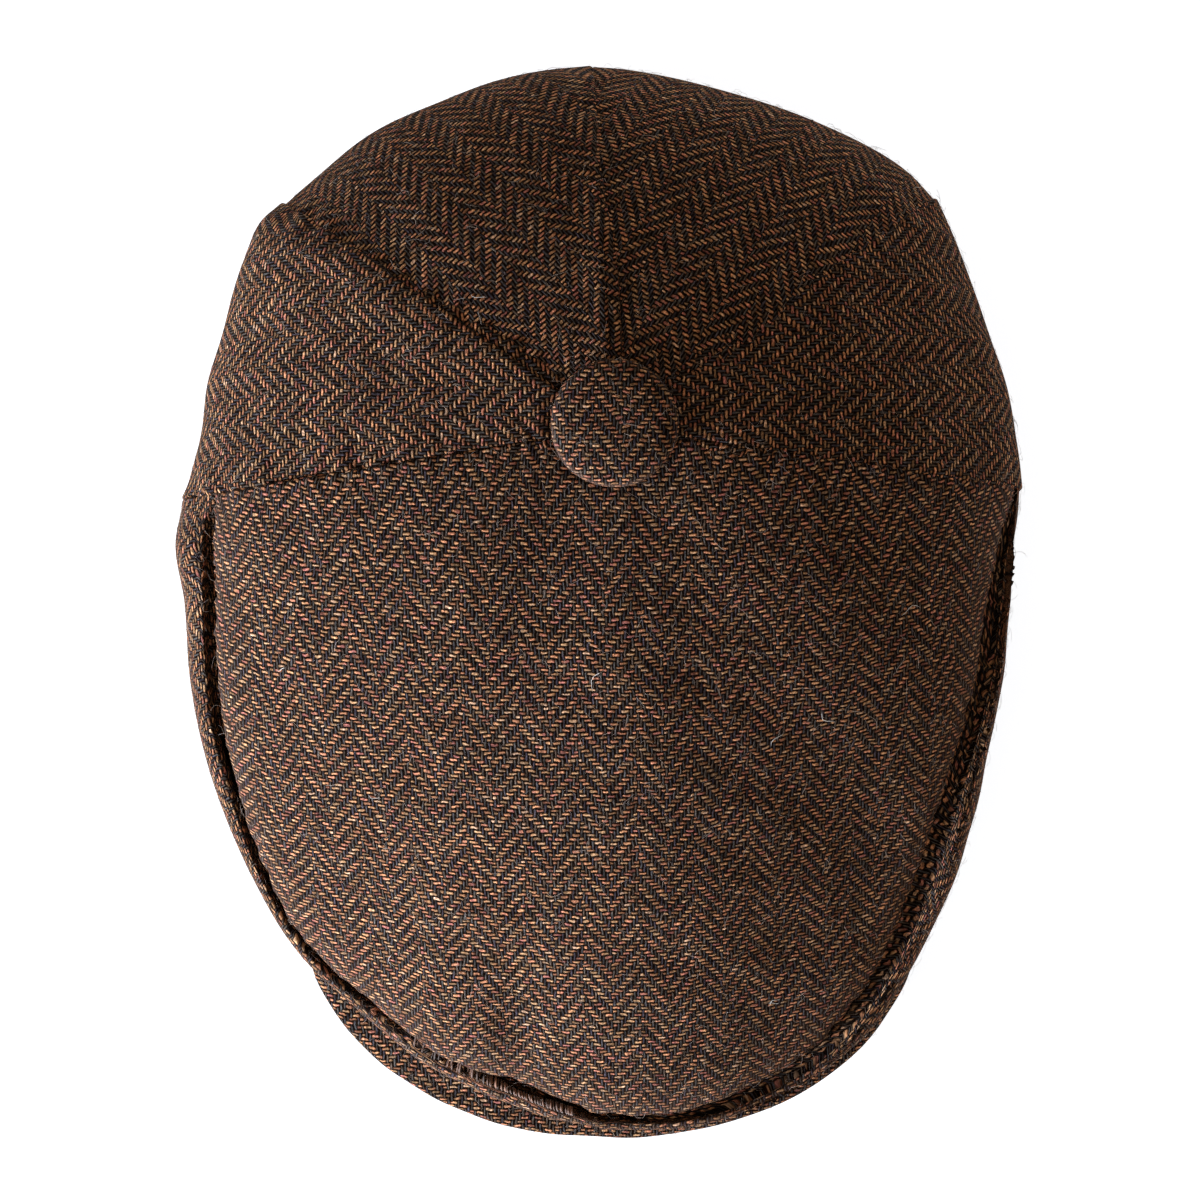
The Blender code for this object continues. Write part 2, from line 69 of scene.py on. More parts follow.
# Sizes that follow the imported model
CAP_WIDTH = cap_high.x - cap_low.x
CAP_LENGTH = cap_high.y - cap_low.y
BAND_WALL = 0.0020
HEAD_WIDTH = band_high.x - band_low.x - 2 * BAND_WALL
HEAD_LENGTH = band_high.y - band_low.y - 2 * BAND_WALL
HEAD_X = (band_low.x + band_high.x) / 2
HEAD_Y = (band_low.y + band_high.y) / 2
BUTTON_SETBACK = 0.0010
BUTTON_X = (button_low.x + button_high.x) / 2
BUTTON_Y = (button_low.y + button_high.y) / 2 - BUTTON_SETBACK
BUTTON_DIAMETER = button_high.x - button_low.x
BUTTON_TOP = button_high.z
BUTTON_THICKNESS = 0.0080
BUTTON_FOOT = 0.0130

# The crown, as in the model's source
CROWN_HEIGHT = 0.1040
BULGE_HEIGHT = 0.0460
CROWN_HOLE_RADIUS = 0.0045
DIMPLE_RADIUS = 0.0200
DIMPLE_DEPTH = 0.0025
BAND_HEIGHT = 0.0160
HEM_SHOWS = 0.0010
RIM_RUN = 0.0886
SEAM_GAP = -0.0001           # sewn panels are pressed together, where the model keeps them apart
FIT_GAP = 0.0003
STRIP_TUCK = 0.0015
ROLL_WIDTH = 0.0060
ROLL_DEPTH = 0.0008
FOLD_DEPTH = 0.0040
FOOT_LEAD = 0.0086
FOOT_RUN = 0.0260
FOLD_RUN = 0.0420
BULGE_HANG = 0.45
BAND_HUG = 0.35
FOLD_SHARE = 0.40
DOME_SPREAD = 2.2
DOME_ROUND = 0.55
SLOPE_SPREAD = 1.8
SLOPE_ROUND = 0.90

# The peak, as in the model's source
PEAK_THICKNESS = 0.0036
PEAK_ARCH_RADIUS = 0.1900
PEAK_SLOPE = 0.2000
PEAK_MIDDLE_X = 0.0033
PEAK_CORNER_WIDTH = 0.0030
PEAK_SHARES = np.linspace(0.0, 1.0, 181)
PEAK_STEPS = 31              # across each of its faces
PEAK_NOSE_STEPS = 8          # round its edge
PEAK_FIRST_END = 4.0

# The button. Shares are of its thickness.
BUTTON_RIM = 0.45            # share at its widest place
BUTTON_TILT = 0.085
BUTTON_TILT_WAY = (0.79, 0.61)
BUTTON_TILT_SHARE = 0.60     # above this share it is tilted in full
BUTTON_FIRST_END = 4.2
SHANK_RADIUS = 0.0025
SHANK_SHARE = 0.60           # how far the shank goes down
CREASE = (0.0118, -0.0030)   # a crease in the cloth, from the button's middle
CREASE_REACH = 0.0050
CREASE_RADIUS = 0.0138
CREASE_WIDTH = 0.0006
CREASE_DEPTH = 0.00045
RIM_NAP_AND_HIGHLIGHT = 0.80               # how woolly the button's rim is, with a painted highlight that is strongest on its lower left side, and where and how wide
RIM_NAP_AND_HIGHLIGHT_RADIUS = BUTTON_DIAMETER * 0.490
RIM_NAP_AND_HIGHLIGHT_WIDTH = 0.0005

# The cloth
CLOTH_WALL = 0.0016
SEAM_WALL = 0.0034           # with the seam allowances pressed behind it
SEAM_WALL_WIDTH = 0.0030
EDGE_WALL = 0.80             # the front panel's rolled edge is this share of SEAM_WALL thick
SEAM_NOSE = 0.40             # sewn edges swell against each other by this share of half their wall
HEM_NOSE = 0.60              # and lower edges are rounded by this share of it
SEAM_SINK = 0.0005           # a seam pulls the cloth in this much
SEAM_SINK_WIDTH = 0.0060
PROUD_FROM = 0.0120          # cloth stands proud beside a seam from this far from the button's axis
PROUD_LOSS = 0.80            # past Seam.until it loses this share of that, over PROUD_FADE
PROUD_FADE = 0.0300
PUCKER = 0.00022
PUCKER_REACH = 0.0050
PANEL_SLACK = 0.00008        # unevenness of soft cloth
SIDE_SLACK = 0.00013
EDGE_ROLL = 0.0022           # the front panel's edge turns under with this round
EDGE_DROP = 0.0012
EDGE_BACK = 0.0009           # room for that edge's own half round
EDGE_BACK_FADE = 0.0080      # which closes up this near to the side seams
EDGE_WAVER = 0.00016
EDGE_NAP = 0.5               # how woolly that edge is, and how far in
EDGE_NAP_REACH = 0.0040
STRIP_UNDER = 0.0034         # the strips pass this far under that edge
TUCK_STEPS = 4               # with this many steps of their sections
GAP_WIDTH = 0.0021           # the dark gap beside that edge
GAP_MOST = 0.58              # it takes no more than this share of a strip's width
GAP_WAVER = 0.12
GAP_DEPTH = 0.0046
GAP_SHUT_DEPTH = 0.30        # share of that depth that is left where the gap is shut
GAP_SHUT_RUN = 0.0120        # and that grows over this distance from the side seam
GAP_START = 0.0020           # the gap starts to open this far from the side seam
GAP_START_RUN = 0.0140
GAP_FLAT = 0.10              # share of its width where it is deepest
RIDGE_DROP = 0.0010          # the strips' ridge beyond the gap lies this far below the edge
RIDGE_STEPS = 37             # steps from the gap over the ridge to the bulge
RIDGE_WALL = 0.35            # the ridge's wall is at most this share of its width
RIDGE_NAP = 0.36
RIDGE_NAP_PLACE = 0.90       # share of the strip's width where the ridge is most woolly
RIDGE_NAP_WIDTH = 0.0011
SHOULDER = 2.3               # 2 is a round shoulder, more is squarer
END_PITCH = 0.00093          # between warp threads
PICK_PITCH = 0.00115         # between weft threads
RIB_ENDS = 8                 # warp threads in one rib of the herringbone

# The crown's outline from above, as in the model's source, but with the front panel's edge a little
# further in at the front left. across and along are shares of half the cap's width and length, edge is
# where the front panel ends as a share of the way from the button to the outline, bulge is the
# outline's height as a share of BULGE_HEIGHT, and slope goes from 0 for a dome to 1 for a slope.
Place = namedtuple("Place", "across along edge bulge slope")

OUTLINE = {
    "back_left": [
        Place(-0.017, 1.000, 1, 0.93, 0),
        Place(-0.177, 0.983, 1, 0.94, 0),
        Place(-0.383, 0.931, 1, 0.95, 0),
        Place(-0.566, 0.857, 1, 0.97, 0),
        Place(-0.684, 0.782, 1, 0.99, 0),
        Place(-0.743, 0.743, 1, 1.00, 0),
    ],
    "side_left": [
        Place(-0.743, 0.743, 1, 1.00, 0),
        Place(-0.797, 0.708, 1, 1.00, 0),
        Place(-0.846, 0.634, 1, 1.00, 0),
        Place(-0.884, 0.523, 1, 1.00, 0),
        Place(-0.924, 0.413, 1, 1.00, 0),
        Place(-0.946, 0.302, 1, 1.00, 0),
        Place(-0.986, 0.195, 1, 1.00, 0),
    ],
    "strip_left": [
        Place(-0.986, 0.195, 0.920, 1.00, 0.00),
        Place(-1.000, 0.112, 0.917, 0.98, 0.05),
        Place(-0.982, 0.006, 0.931, 0.96, 0.12),
        Place(-0.971, -0.120, 0.940, 0.93, 0.25),
        Place(-0.941, -0.253, 0.953, 0.87, 0.40),
        Place(-0.900, -0.365, 0.959, 0.79, 0.55),
        Place(-0.826, -0.514, 0.972, 0.64, 0.72),
        Place(-0.740, -0.628, 0.978, 0.50, 0.84),
        Place(-0.686, -0.681, 0.978, 0.43, 0.90),
        Place(-0.560, -0.769, 0.973, 0.38, 0.95),
        Place(-0.414, -0.860, 0.966, 0.38, 1.00),
        Place(-0.199, -0.940, 0.968, 0.41, 1.00),
        Place(0.000, -0.983, 0.980, 0.43, 1.00),
    ],
    "strip_right": [
        Place(0.000, -0.983, 0.980, 0.43, 1.00),
        Place(0.172, -0.979, 0.986, 0.43, 1.00),
        Place(0.352, -0.946, 0.985, 0.41, 1.00),
        Place(0.555, -0.860, 0.980, 0.38, 1.00),
        Place(0.658, -0.788, 0.965, 0.38, 0.95),
        Place(0.728, -0.702, 0.960, 0.43, 0.90),
        Place(0.802, -0.590, 0.950, 0.53, 0.80),
        Place(0.857, -0.477, 0.943, 0.67, 0.66),
        Place(0.913, -0.290, 0.958, 0.84, 0.42),
        Place(0.949, -0.142, 0.966, 0.93, 0.25),
        Place(0.965, 0.006, 0.977, 0.97, 0.12),
        Place(0.976, 0.112, 0.984, 0.99, 0.05),
        Place(1.000, 0.213, 0.984, 1.00, 0.00),
    ],
    "side_right": [
        Place(1.000, 0.213, 1, 1.00, 0),
        Place(0.981, 0.302, 1, 1.00, 0),
        Place(0.955, 0.413, 1, 1.00, 0),
        Place(0.917, 0.500, 1, 1.00, 0),
        Place(0.872, 0.597, 1, 1.00, 0),
        Place(0.839, 0.671, 1, 1.00, 0),
        Place(0.795, 0.752, 1, 1.00, 0),
    ],
    "back_right": [
        Place(0.795, 0.752, 1, 1.00, 0),
        Place(0.696, 0.819, 1, 0.98, 0),
        Place(0.510, 0.894, 1, 0.96, 0),
        Place(0.210, 0.968, 1, 0.94, 0),
        Place(-0.017, 1.000, 1, 0.93, 0),
    ],
}

# How wide the dark gap opens as a share of GAP_WIDTH, at shares of each strip's length
GAP_OPENS = {
    "side_strip_left": (
        (0.00, 0.10, 0.27, 0.42, 0.55, 0.68, 0.85, 0.95, 1.00),
        (0.40, 1.00, 1.00, 0.65, 0.60, 1.00, 1.10, 0.80, 0.50),
    ),
    "side_strip_right": (
        (0.00, 0.30, 0.55, 0.78, 0.90, 1.00),
        (0.45, 0.30, 0.42, 0.32, 0.16, 0.10),
    ),
}

# Where each strip is sewn to its side panel
SIDE_SEAM_ENDS = {
    "side_strip_left": np.array([OUTLINE["strip_left"][0]]),
    "side_strip_right": np.array([OUTLINE["strip_right"][-1]]),
}

# The peak's outer edge, in the same shares, from its left corner round the tip to its right corner.
Corner = namedtuple("Corner", "across along")

PEAK_OUTLINE = [
    Corner(-0.711, -0.199),
    Corner(-0.722, -0.400),
    Corner(-0.719, -0.550),
    Corner(-0.704, -0.650),
    Corner(-0.682, -0.711),
    Corner(-0.619, -0.786),
    Corner(-0.530, -0.861),
    Corner(-0.380, -0.936),
    Corner(-0.259, -0.972),
    Corner(0.024, -1.000),
    Corner(0.315, -0.972),
    Corner(0.443, -0.936),
    Corner(0.590, -0.861),
    Corner(0.682, -0.786),
    Corner(0.740, -0.711),
    Corner(0.757, -0.650),
    Corner(0.765, -0.550),
    Corner(0.757, -0.400),
    Corner(0.731, -0.199),
]

# Soft dents and puffs of the crown: where in the same shares, which way they run in degrees from +X,
# how high they rise and how far they reach along and across themselves, in metres.
Dent = namedtuple("Dent", "across along turn rise half_long half_wide")

DENTS_CLEAR = 0.0250          # they fade out over this distance from the side seams
DENTS = [
    Dent(0.700, -0.300, 80, -0.0044, 0.0600, 0.0210),
    Dent(-0.330, -0.500, 90, 0.0028, 0.0500, 0.0330),
    Dent(-0.310, -0.120, 84, 0.0018, 0.0420, 0.0125),
    Dent(-0.345, -0.800, 84, 0.0022, 0.0200, 0.0105),
    Dent(-0.190, -0.800, 90, -0.0026, 0.0170, 0.0058),
    Dent(0.400, -0.820, 80, -0.0020, 0.0220, 0.0120),
]

# How far each piece stands proud along its first and its last seam, over what width that fades away,
# the round it turns down with, and how far from the button it starts to stand less proud.
Seam = namedtuple("Seam", "proud width round until", defaults=(1.0,))

SEAMS = {
    "back_panel_left": (Seam(0.0013, 0.008, 0.0012, 0.066), Seam(-0.0003, 0.004, 0.0004)),
    "side_panel_left": (Seam(0.0012, 0.016, 0.0012), Seam(0.0000, 0.010, 0.0010)),
    "side_panel_right": (Seam(0.0000, 0.010, 0.0010), Seam(0.0002, 0.010, 0.0006)),
    "back_panel_right": (Seam(0.0000, 0.010, 0.0006), Seam(-0.0010, 0.012, 0.0006, 0.066)),
    "front_panel": (Seam(0.0003, 0.010, 0.0012), Seam(0.0003, 0.010, 0.0012)),
    "side_strip_left": (Seam(0.0000, 0.010, 0.0005), Seam(0.0000, 0.010, 0.0003)),
    "side_strip_right": (Seam(0.0000, 0.010, 0.0003), Seam(0.0000, 0.010, 0.0005)),
}

# Loose wool
FIBRE_POINTS = 6             # along each fibre
FIBRE_SINK = 0.00005         # their roots lie this far in the cloth
STRAY_THICKNESS = 0.00013
GAP_THREAD_BOW = 0.0005

# Long stray fibres: where they start in the same shares, which way they run in degrees from +X, how
# long they are and how far they swing in metres, and how pale they are.
Stray =namedtuple("Stray", "across along turn length curl shade")

STRAYS = [
    Stray(-0.019, -0.152, 62, 0.0072, 0.0012, 1.0),
    Stray(-0.752, -0.114, 15, 0.0034, 0.0004, 0.9),
    Stray(-0.542, -0.340, -20, 0.0040, 0.0006, 0.8),
    Stray(0.405, -0.745, 40, 0.0042, 0.0008, 0.9),
    Stray(-0.495, -0.665, 80, 0.0050, 0.0014, 0.7),
    Stray(0.695, -0.022, 10, 0.0060, 0.0010, 0.8),
    Stray(0.518, -0.188, -50, 0.0056, 0.0010, 0.7),
    Stray(0.396, -0.252, 70, 0.0048, 0.0012, 0.8),
    Stray(0.247, 0.880, 30, 0.0044, 0.0012, 0.8),
    Stray(0.743, 0.755, 55, 0.0052, 0.0010, 0.7),
    Stray(0.401, -0.738, 20, 0.0030, 0.0008, 0.8),
    Stray(-0.300, 0.560, -35, 0.0046, 0.0010, 0.6),
]

# How each piece was cut: at a place given by its shares of the columns and of the steps, its warp runs
# along lead, and its threads are counted from first_end and first_pick there.
Cut = namedtuple("Cut", "column step lead first_end first_pick")

CUTS = {
    "front_panel": Cut(0.50, 0.55, (0.0, 1.0, 0.3), 4.0, 0.0),
    "side_panel_left": Cut(0.80, 0.50, (-1.0, 0.0, -0.4), 2.0, 0.0),
    "side_panel_right": Cut(0.20, 0.50, (1.0, 0.0, -0.4), 2.0, 0.0),
    "back_panel_left": Cut(0.90, 0.45, (-0.71, 0.71, -0.4), 2.0, 0.0),
    "back_panel_right": Cut(0.10, 0.45, (0.59, 0.81, -0.4), 2.0, 0.0),
    "side_strip_left": Cut(0.30, 0.35, (0.0, 0.0, -1.0), 4.0, 0.0),
    "side_strip_right": Cut(0.70, 0.35, (0.0, 0.0, -1.0), 4.0, 0.0),
}


# Steps, directions and curves


def fade(value):
    """Smooth step: 0 below 0, 1 above 1, with level ends."""
    share = np.clip(value, 0.0, 1.0)
    return share * share * (3.0 - 2.0 * share)


def unit(vectors):
    """Vectors with their lengths made 1."""
    return vectors / np.linalg.norm(vectors, axis=-1, keepdims=True)


def run_down(points):
    """Length of each section of a grid from its first step down to every other."""
    steps = np.linalg.norm(np.diff(points, axis=1), axis=2)
    return np.pad(np.cumsum(steps, axis=1), ((0, 0), (1, 0)))


def crowd(count, ends):
    """Shares from 0 to 1 that lie closer together near both ends: t - ends * sin(2 pi t) / (2 pi)."""
    share = np.linspace(0.0, 1.0, count)
    return share - ends * np.sin(2 * np.pi * share) / (2 * np.pi)


def follow(rows, shares):
    """Read a table's columns at shares of its outline's length, along a smooth curve through its rows."""
    table = np.array(rows, dtype=float)
    plan = table[:, :2] * (CAP_WIDTH / 2, CAP_LENGTH / 2)
    steps = np.linalg.norm(np.diff(plan, axis=0), axis=1)
    along = np.concatenate(([0.0], np.cumsum(steps)))
    tangents = np.gradient(table, along, axis=0)
    where = shares * along[-1]
    span = np.clip(np.searchsorted(along, where, side="right") - 1, 0, len(rows) - 2)
    width = (along[span + 1] - along[span])[:, None]
    share = (where - along[span])[:, None] / width
    blend_end = share * share * (3.0 - 2.0 * share)
    leave = share * (1.0 - share) ** 2 * width
    arrive = share * share * (share - 1.0) * width
    start, end = table[span], table[span + 1]
    return start * (1.0 - blend_end) + end * blend_end + leave * tangents[span] + arrive * tangents[span + 1]


# Shape of the peak and the rim


def outline_plan(columns):
    """Plan positions of outline places, in metres."""
    return columns[:, :2] * (CAP_WIDTH / 2, CAP_LENGTH / 2)


def reach_band(centre, towards, clearance):
    """Distance from centre, along unit directions, to the band's outer wall plus a clearance: where the
    ray meets an oval, from the larger root of its quadratic."""
    half = np.array([HEAD_WIDTH, HEAD_LENGTH]) / 2 + BAND_WALL + clearance
    start = (np.array(centre) - (HEAD_X, HEAD_Y)) / half
    ray = towards / half
    square = (ray ** 2).sum(axis=1)
    cross = ray @ start
    rest = (start ** 2).sum() - 1.0
    return (-cross + np.sqrt(cross ** 2 - square * rest)) / square


def peak_rays(shares):
    """From the middle of the head opening: unit directions to the peak's edge, where the peak starts
    outside the band, and where its flat faces end."""
    centre = (HEAD_X, HEAD_Y)
    offset = outline_plan(follow(PEAK_OUTLINE, shares)) - centre
    reach = np.linalg.norm(offset, axis=1)
    towards = offset / reach[:, None]
    root = reach_band(centre, towards, FIT_GAP)
    return towards, root, np.maximum(reach, root + PEAK_CORNER_WIDTH) - PEAK_THICKNESS / 2


def peak_nose(count):
    """The half round edge of the peak: how far it stands out and up from its flat underside's end."""
    bend = np.linspace(-np.pi / 2, np.pi / 2, count + 2)[1:-1]
    return PEAK_THICKNESS / 2 * np.cos(bend), PEAK_THICKNESS / 2 * (1 + np.sin(bend))


def arch(x, y):
    """Height of the peak's underside before it is set down: a round arch across, a slope along."""
    across = x - PEAK_MIDDLE_X
    sag = PEAK_ARCH_RADIUS - np.sqrt(PEAK_ARCH_RADIUS ** 2 - across ** 2)
    return PEAK_SLOPE * y - sag


def find_peak_drop():
    """Height of the arch where it touches the floor."""
    towards, _, flat_reach = peak_rays(PEAK_SHARES)
    out, up = peak_nose(count=7)
    distance = flat_reach[:, None] + np.append(0.0, out)
    plan = np.array([HEAD_X, HEAD_Y]) + towards[:, None, :] * distance[..., None]
    return (arch(plan[..., 0], plan[..., 1]) + np.append(0.0, up)).min()


PEAK_DROP = find_peak_drop()
PEAK_CORNER_Y = max(corner.along for corner in PEAK_OUTLINE) * CAP_LENGTH / 2


def peak_under(x, y):
    """Height of the peak's underside: an arch that falls forward until its flanks touch the floor."""
    return arch(x, y) - PEAK_DROP


def rim_height(x, y):
    """Height of the head opening's rim: flat on the floor behind, carried up by the peak in front."""
    return peak_under(x, y) * fade((PEAK_CORNER_Y + RIM_RUN - y) / RIM_RUN)


# Shape of the crown


def rays(columns):
    """Unit directions and lengths from the button's axis to the outline."""
    offset = outline_plan(columns) - (BUTTON_X, BUTTON_Y)
    reach = np.linalg.norm(offset, axis=1)
    return offset / reach[:, None], reach


def along_rays(towards, distance):
    """Plan positions at distances along the crown's rays."""
    return np.array([BUTTON_X, BUTTON_Y]) + towards[:, None, :] * distance[..., None]


def crown_top(columns, distance):
    """The crown's height over its rays: bulge + rise * (1 - share ^ spread) ^ roundness, a dome behind
    and a slope in front, with a dimple under the button."""
    _, reach = rays(columns)
    shares = np.minimum(distance / reach[:, None], 1.0)
    slope = columns[:, 4:5]
    spread = DOME_SPREAD + slope * (SLOPE_SPREAD - DOME_SPREAD)
    roundness = DOME_ROUND + slope * (SLOPE_ROUND - DOME_ROUND)
    bulge = columns[:, 3:4] * BULGE_HEIGHT
    dimple = DIMPLE_DEPTH * (1 - fade(distance / DIMPLE_RADIUS))
    return bulge + (CROWN_HEIGHT - bulge) * (1.0 - shares ** spread) ** roundness - dimple


def tuck_to_band(reach, bulge, end, low, share):
    """Side or back: a bent curve of four controls from the bulge, down and in, that ends upright along
    the band."""
    drop = bulge - low
    control = (
        np.stack([reach, bulge], axis=1),
        np.stack([reach, bulge - BULGE_HANG * drop], axis=1),
        np.stack([end, low + BAND_HUG * drop], axis=1),
        np.stack([end, low], axis=1),
    )
    share = share[None, :, None]
    weights = ((1 - share) ** 3, 3 * share * (1 - share) ** 2, 3 * share ** 2 * (1 - share), share ** 3)
    return sum(weight * point[:, None, :] for weight, point in zip(weights, control))


def over_peak(towards, distance):
    """Lowest height of cloth that lies on the peak, at distances along the crown's rays."""
    plan = along_rays(towards, distance)
    return np.maximum(peak_under(plan[..., 0], plan[..., 1]), 0.0) + PEAK_THICKNESS + FIT_GAP


def fold_on_peak(towards, reach, bulge, end, share):
    """Front: a quarter oval from the bulge down to the peak, then flat along the peak to the band."""
    turn = np.minimum(share / FOLD_SHARE, 1.0) * np.pi / 2
    run = np.clip((share - FOLD_SHARE) / (1 - FOLD_SHARE), 0.0, 1.0)
    distance = reach[:, None] - FOLD_DEPTH * (1 - np.cos(turn))
    distance -= (reach - FOLD_DEPTH - end)[:, None] * run
    rest = over_peak(towards, distance)
    stand = np.maximum(bulge[:, None] - over_peak(towards, reach[:, None]), 0.0)
    return np.stack([distance, rest + stand * (1 - np.sin(turn))], axis=2)


def crown_under(columns, steps):
    """The crown below its bulge: it tucks in to the band, or comes to lie on the peak."""
    towards, reach = rays(columns)
    bulge = columns[:, 3] * BULGE_HEIGHT
    end = reach_band((BUTTON_X, BUTTON_Y), towards, FIT_GAP + CLOTH_WALL)
    foot = along_rays(towards, end[:, None])[:, 0]
    on_peak_from = PEAK_CORNER_Y + FOOT_LEAD
    on_peak = fade((on_peak_from + FOOT_RUN - foot[:, 1]) / FOOT_RUN)
    folded = fade((on_peak_from - foot[:, 1]) / FOLD_RUN)[:, None, None]
    hem = rim_height(foot[:, 0], foot[:, 1]) + HEM_SHOWS
    low = hem + on_peak * (over_peak(towards, end[:, None])[:, 0] - hem)
    share = np.linspace(0.0, 1.0, steps + 1)[1:]
    hang = tuck_to_band(reach, bulge, end, low, share)
    fold = fold_on_peak(towards, reach, bulge, end, share)
    return hang + folded * (fold - hang)


def inwards(profile, depth):
    """Sections moved square to themselves, each in its own upright plane, by a depth."""
    along = unit(np.gradient(profile, axis=1))
    outwards = np.stack([-along[..., 1], along[..., 0]], axis=2)
    return profile - depth * outwards


def place_sections(columns, profile):
    """Turn (distance, height) sections into points, drawn in towards the middle by half a seam gap at
    both ends and evenly less between them."""
    towards, _ = rays(columns)
    aside = np.stack([-towards[:, 1], towards[:, 0]], axis=1)
    turn = np.unwrap(np.arctan2(towards[:, 1], towards[:, 0]))
    shift = SEAM_GAP / 2 * (1.0 - 2.0 * (turn - turn[0]) / (turn[-1] - turn[0]))
    plan = along_rays(towards, profile[..., 0]) + aside[:, None, :] * shift[:, None, None]
    return np.concatenate([plan, profile[..., 1:]], axis=2)


# Seams, dents and unevenness


def normals(points):
    """Unit normals of a grid: the cross product of its differences along the steps and the columns."""
    return unit(np.cross(np.gradient(points, axis=1), np.gradient(points, axis=0)))


def from_seam(points, towards):
    """Plan distance from the seam that runs out from the button's axis along a direction."""
    offset = points[..., :2] - (BUTTON_X, BUTTON_Y)
    along = offset @ towards
    aside = np.abs(offset[..., 0] * towards[1] - offset[..., 1] * towards[0])
    return np.where(along > 0, aside, np.linalg.norm(offset, axis=2)), along


def seam_relief(points, towards, seam, seed):
    """A seam: the cloth stands proud beside it, rolls down a quarter round into it, is pulled in a little,
    and puckers along it in waves that die away from the seam."""
    away, along = from_seam(points, towards)
    inside = np.clip(1.0 - away / seam.round, 0.0, 1.0)
    roll = seam.round * (1.0 - np.sqrt(1.0 - inside ** 2))
    proud = seam.proud * (1.0 - fade(away / seam.width)) * fade((along - PROUD_FROM) / PROUD_FROM)
    proud = proud * (1.0 - PROUD_LOSS * fade((along - seam.until) / PROUD_FADE))
    sink = SEAM_SINK * np.exp(-(away / SEAM_SINK_WIDTH) ** 2) - proud
    draw = np.random.default_rng(seed)
    waves = sum(
        np.sin(2 * np.pi * along / length + turn)
        for length, turn in zip(draw.uniform(0.0045, 0.0110, 4), draw.uniform(0, 2 * np.pi, 4))
    )
    return PUCKER * waves * np.exp(-away / PUCKER_REACH) - roll - sink


def dents(points):
    """Rise of the soft dents and puffs: a sum of long, turned bells, which fades out at the side seams."""
    rise = np.zeros(points.shape[:2])
    for row in DENTS:
        turn = np.radians(row.turn)
        x = points[..., 0] - row.across * CAP_WIDTH / 2
        y = points[..., 1] - row.along * CAP_LENGTH / 2
        along = (x * np.cos(turn) + y * np.sin(turn)) / row.half_long
        aside = (y * np.cos(turn) - x * np.sin(turn)) / row.half_wide
        rise += row.rise * np.exp(-0.5 * (along ** 2 + aside ** 2))
    for end in SIDE_SEAM_ENDS.values():
        rise *= fade(from_seam(points, rays(end)[0][0])[0] / DENTS_CLEAR)
    return rise


def slack(points, seed, height):
    """Gentle unevenness of soft cloth: a sum of plane waves 14 to 45 mm long in random directions."""
    draw = np.random.default_rng(seed)
    rise = np.zeros(points.shape[:2])
    for _ in range(9):
        way = unit(draw.normal(size=3))
        rise += np.sin(2 * np.pi * (points @ way) / draw.uniform(0.014, 0.045) + draw.uniform(0, 2 * np.pi))
    return height * rise


def waver(columns, seed):
    """Uneven hand of an edge: a sum of sines of the angle round the button's axis, 1 mm to 5 mm long."""
    towards, _ = rays(columns)
    turn = np.arctan2(towards[:, 0], -towards[:, 1])
    draw = np.random.default_rng(seed)
    return sum(np.sin(draw.uniform(120, 700) * turn + draw.uniform(0, 2 * np.pi)) for _ in range(5))


# Flat patterns and their threads


def spread(field, rows, columns, row_places, column_places):
    """Stretch a coarse grid's values over the fine grid that its rows and columns were picked from, by
    the fine grid's places along each way."""
    across = np.stack([np.interp(column_places, column_places[columns], line) for line in field])
    return np.stack([np.interp(row_places, row_places[rows], line) for line in across.T], axis=1)


def mean_places(points, axis):
    """Places of a grid's lines along one way: the mean distance between neighbours, added up."""
    steps = np.linalg.norm(np.diff(points, axis=axis), axis=2).mean(axis=1 - axis)
    return np.concatenate([[0.0], np.cumsum(steps)])


def relax(points, flat, rounds):
    """Springs along a grid's rows, columns and diagonals, relaxed in the plane to their true lengths. In
    each round a point moves by haste times the mean pull of its springs."""
    haste = 1.6
    pairs = []
    for here, there in (
        (np.s_[:-1, :], np.s_[1:, :]),
        (np.s_[:, :-1], np.s_[:, 1:]),
        (np.s_[:-1, :-1], np.s_[1:, 1:]),
        (np.s_[1:, :-1], np.s_[:-1, 1:]),
    ):
        pairs.append((here, there, np.linalg.norm(points[here] - points[there], axis=2)))
    count = np.zeros(flat.shape[:2])
    for here, there, _ in pairs:
        count[here] += 1
        count[there] += 1
    for _ in range(rounds):
        move = np.zeros_like(flat)
        for here, there, length in pairs:
            gap = flat[there] - flat[here]
            pull = 0.5 * (1.0 - length / np.linalg.norm(gap, axis=2))[..., None] * gap
            move[here] += pull
            move[there] -= pull
        flat = flat + haste * move / count[..., None]
    return flat


def flat_cut(points, flat, folded):
    """The flat pattern that a curved sheet is sewn from: a first layout is relaxed on a coarse grid,
    and each correction is spread over the next finer one. A folded sheet keeps all the steps down its
    sections, so that no fold is cut short."""
    places = (mean_places(points, 0), mean_places(points, 1))
    for stride, rounds in ((12, 500), (6, 200), (3, 80), (1, 30)):
        rows = np.unique(np.linspace(0, points.shape[0] - 1, points.shape[0] // stride + 1).astype(int))
        steps = points.shape[1] // (1 if folded else stride) + 1
        columns = np.unique(np.linspace(0, points.shape[1] - 1, steps).astype(int))
        coarse = flat[np.ix_(rows, columns)]
        change = relax(points[np.ix_(rows, columns)], coarse, rounds) - coarse
        flat = flat + np.stack([spread(change[..., axis], rows, columns, *places) for axis in (0, 1)], axis=2)
    return flat


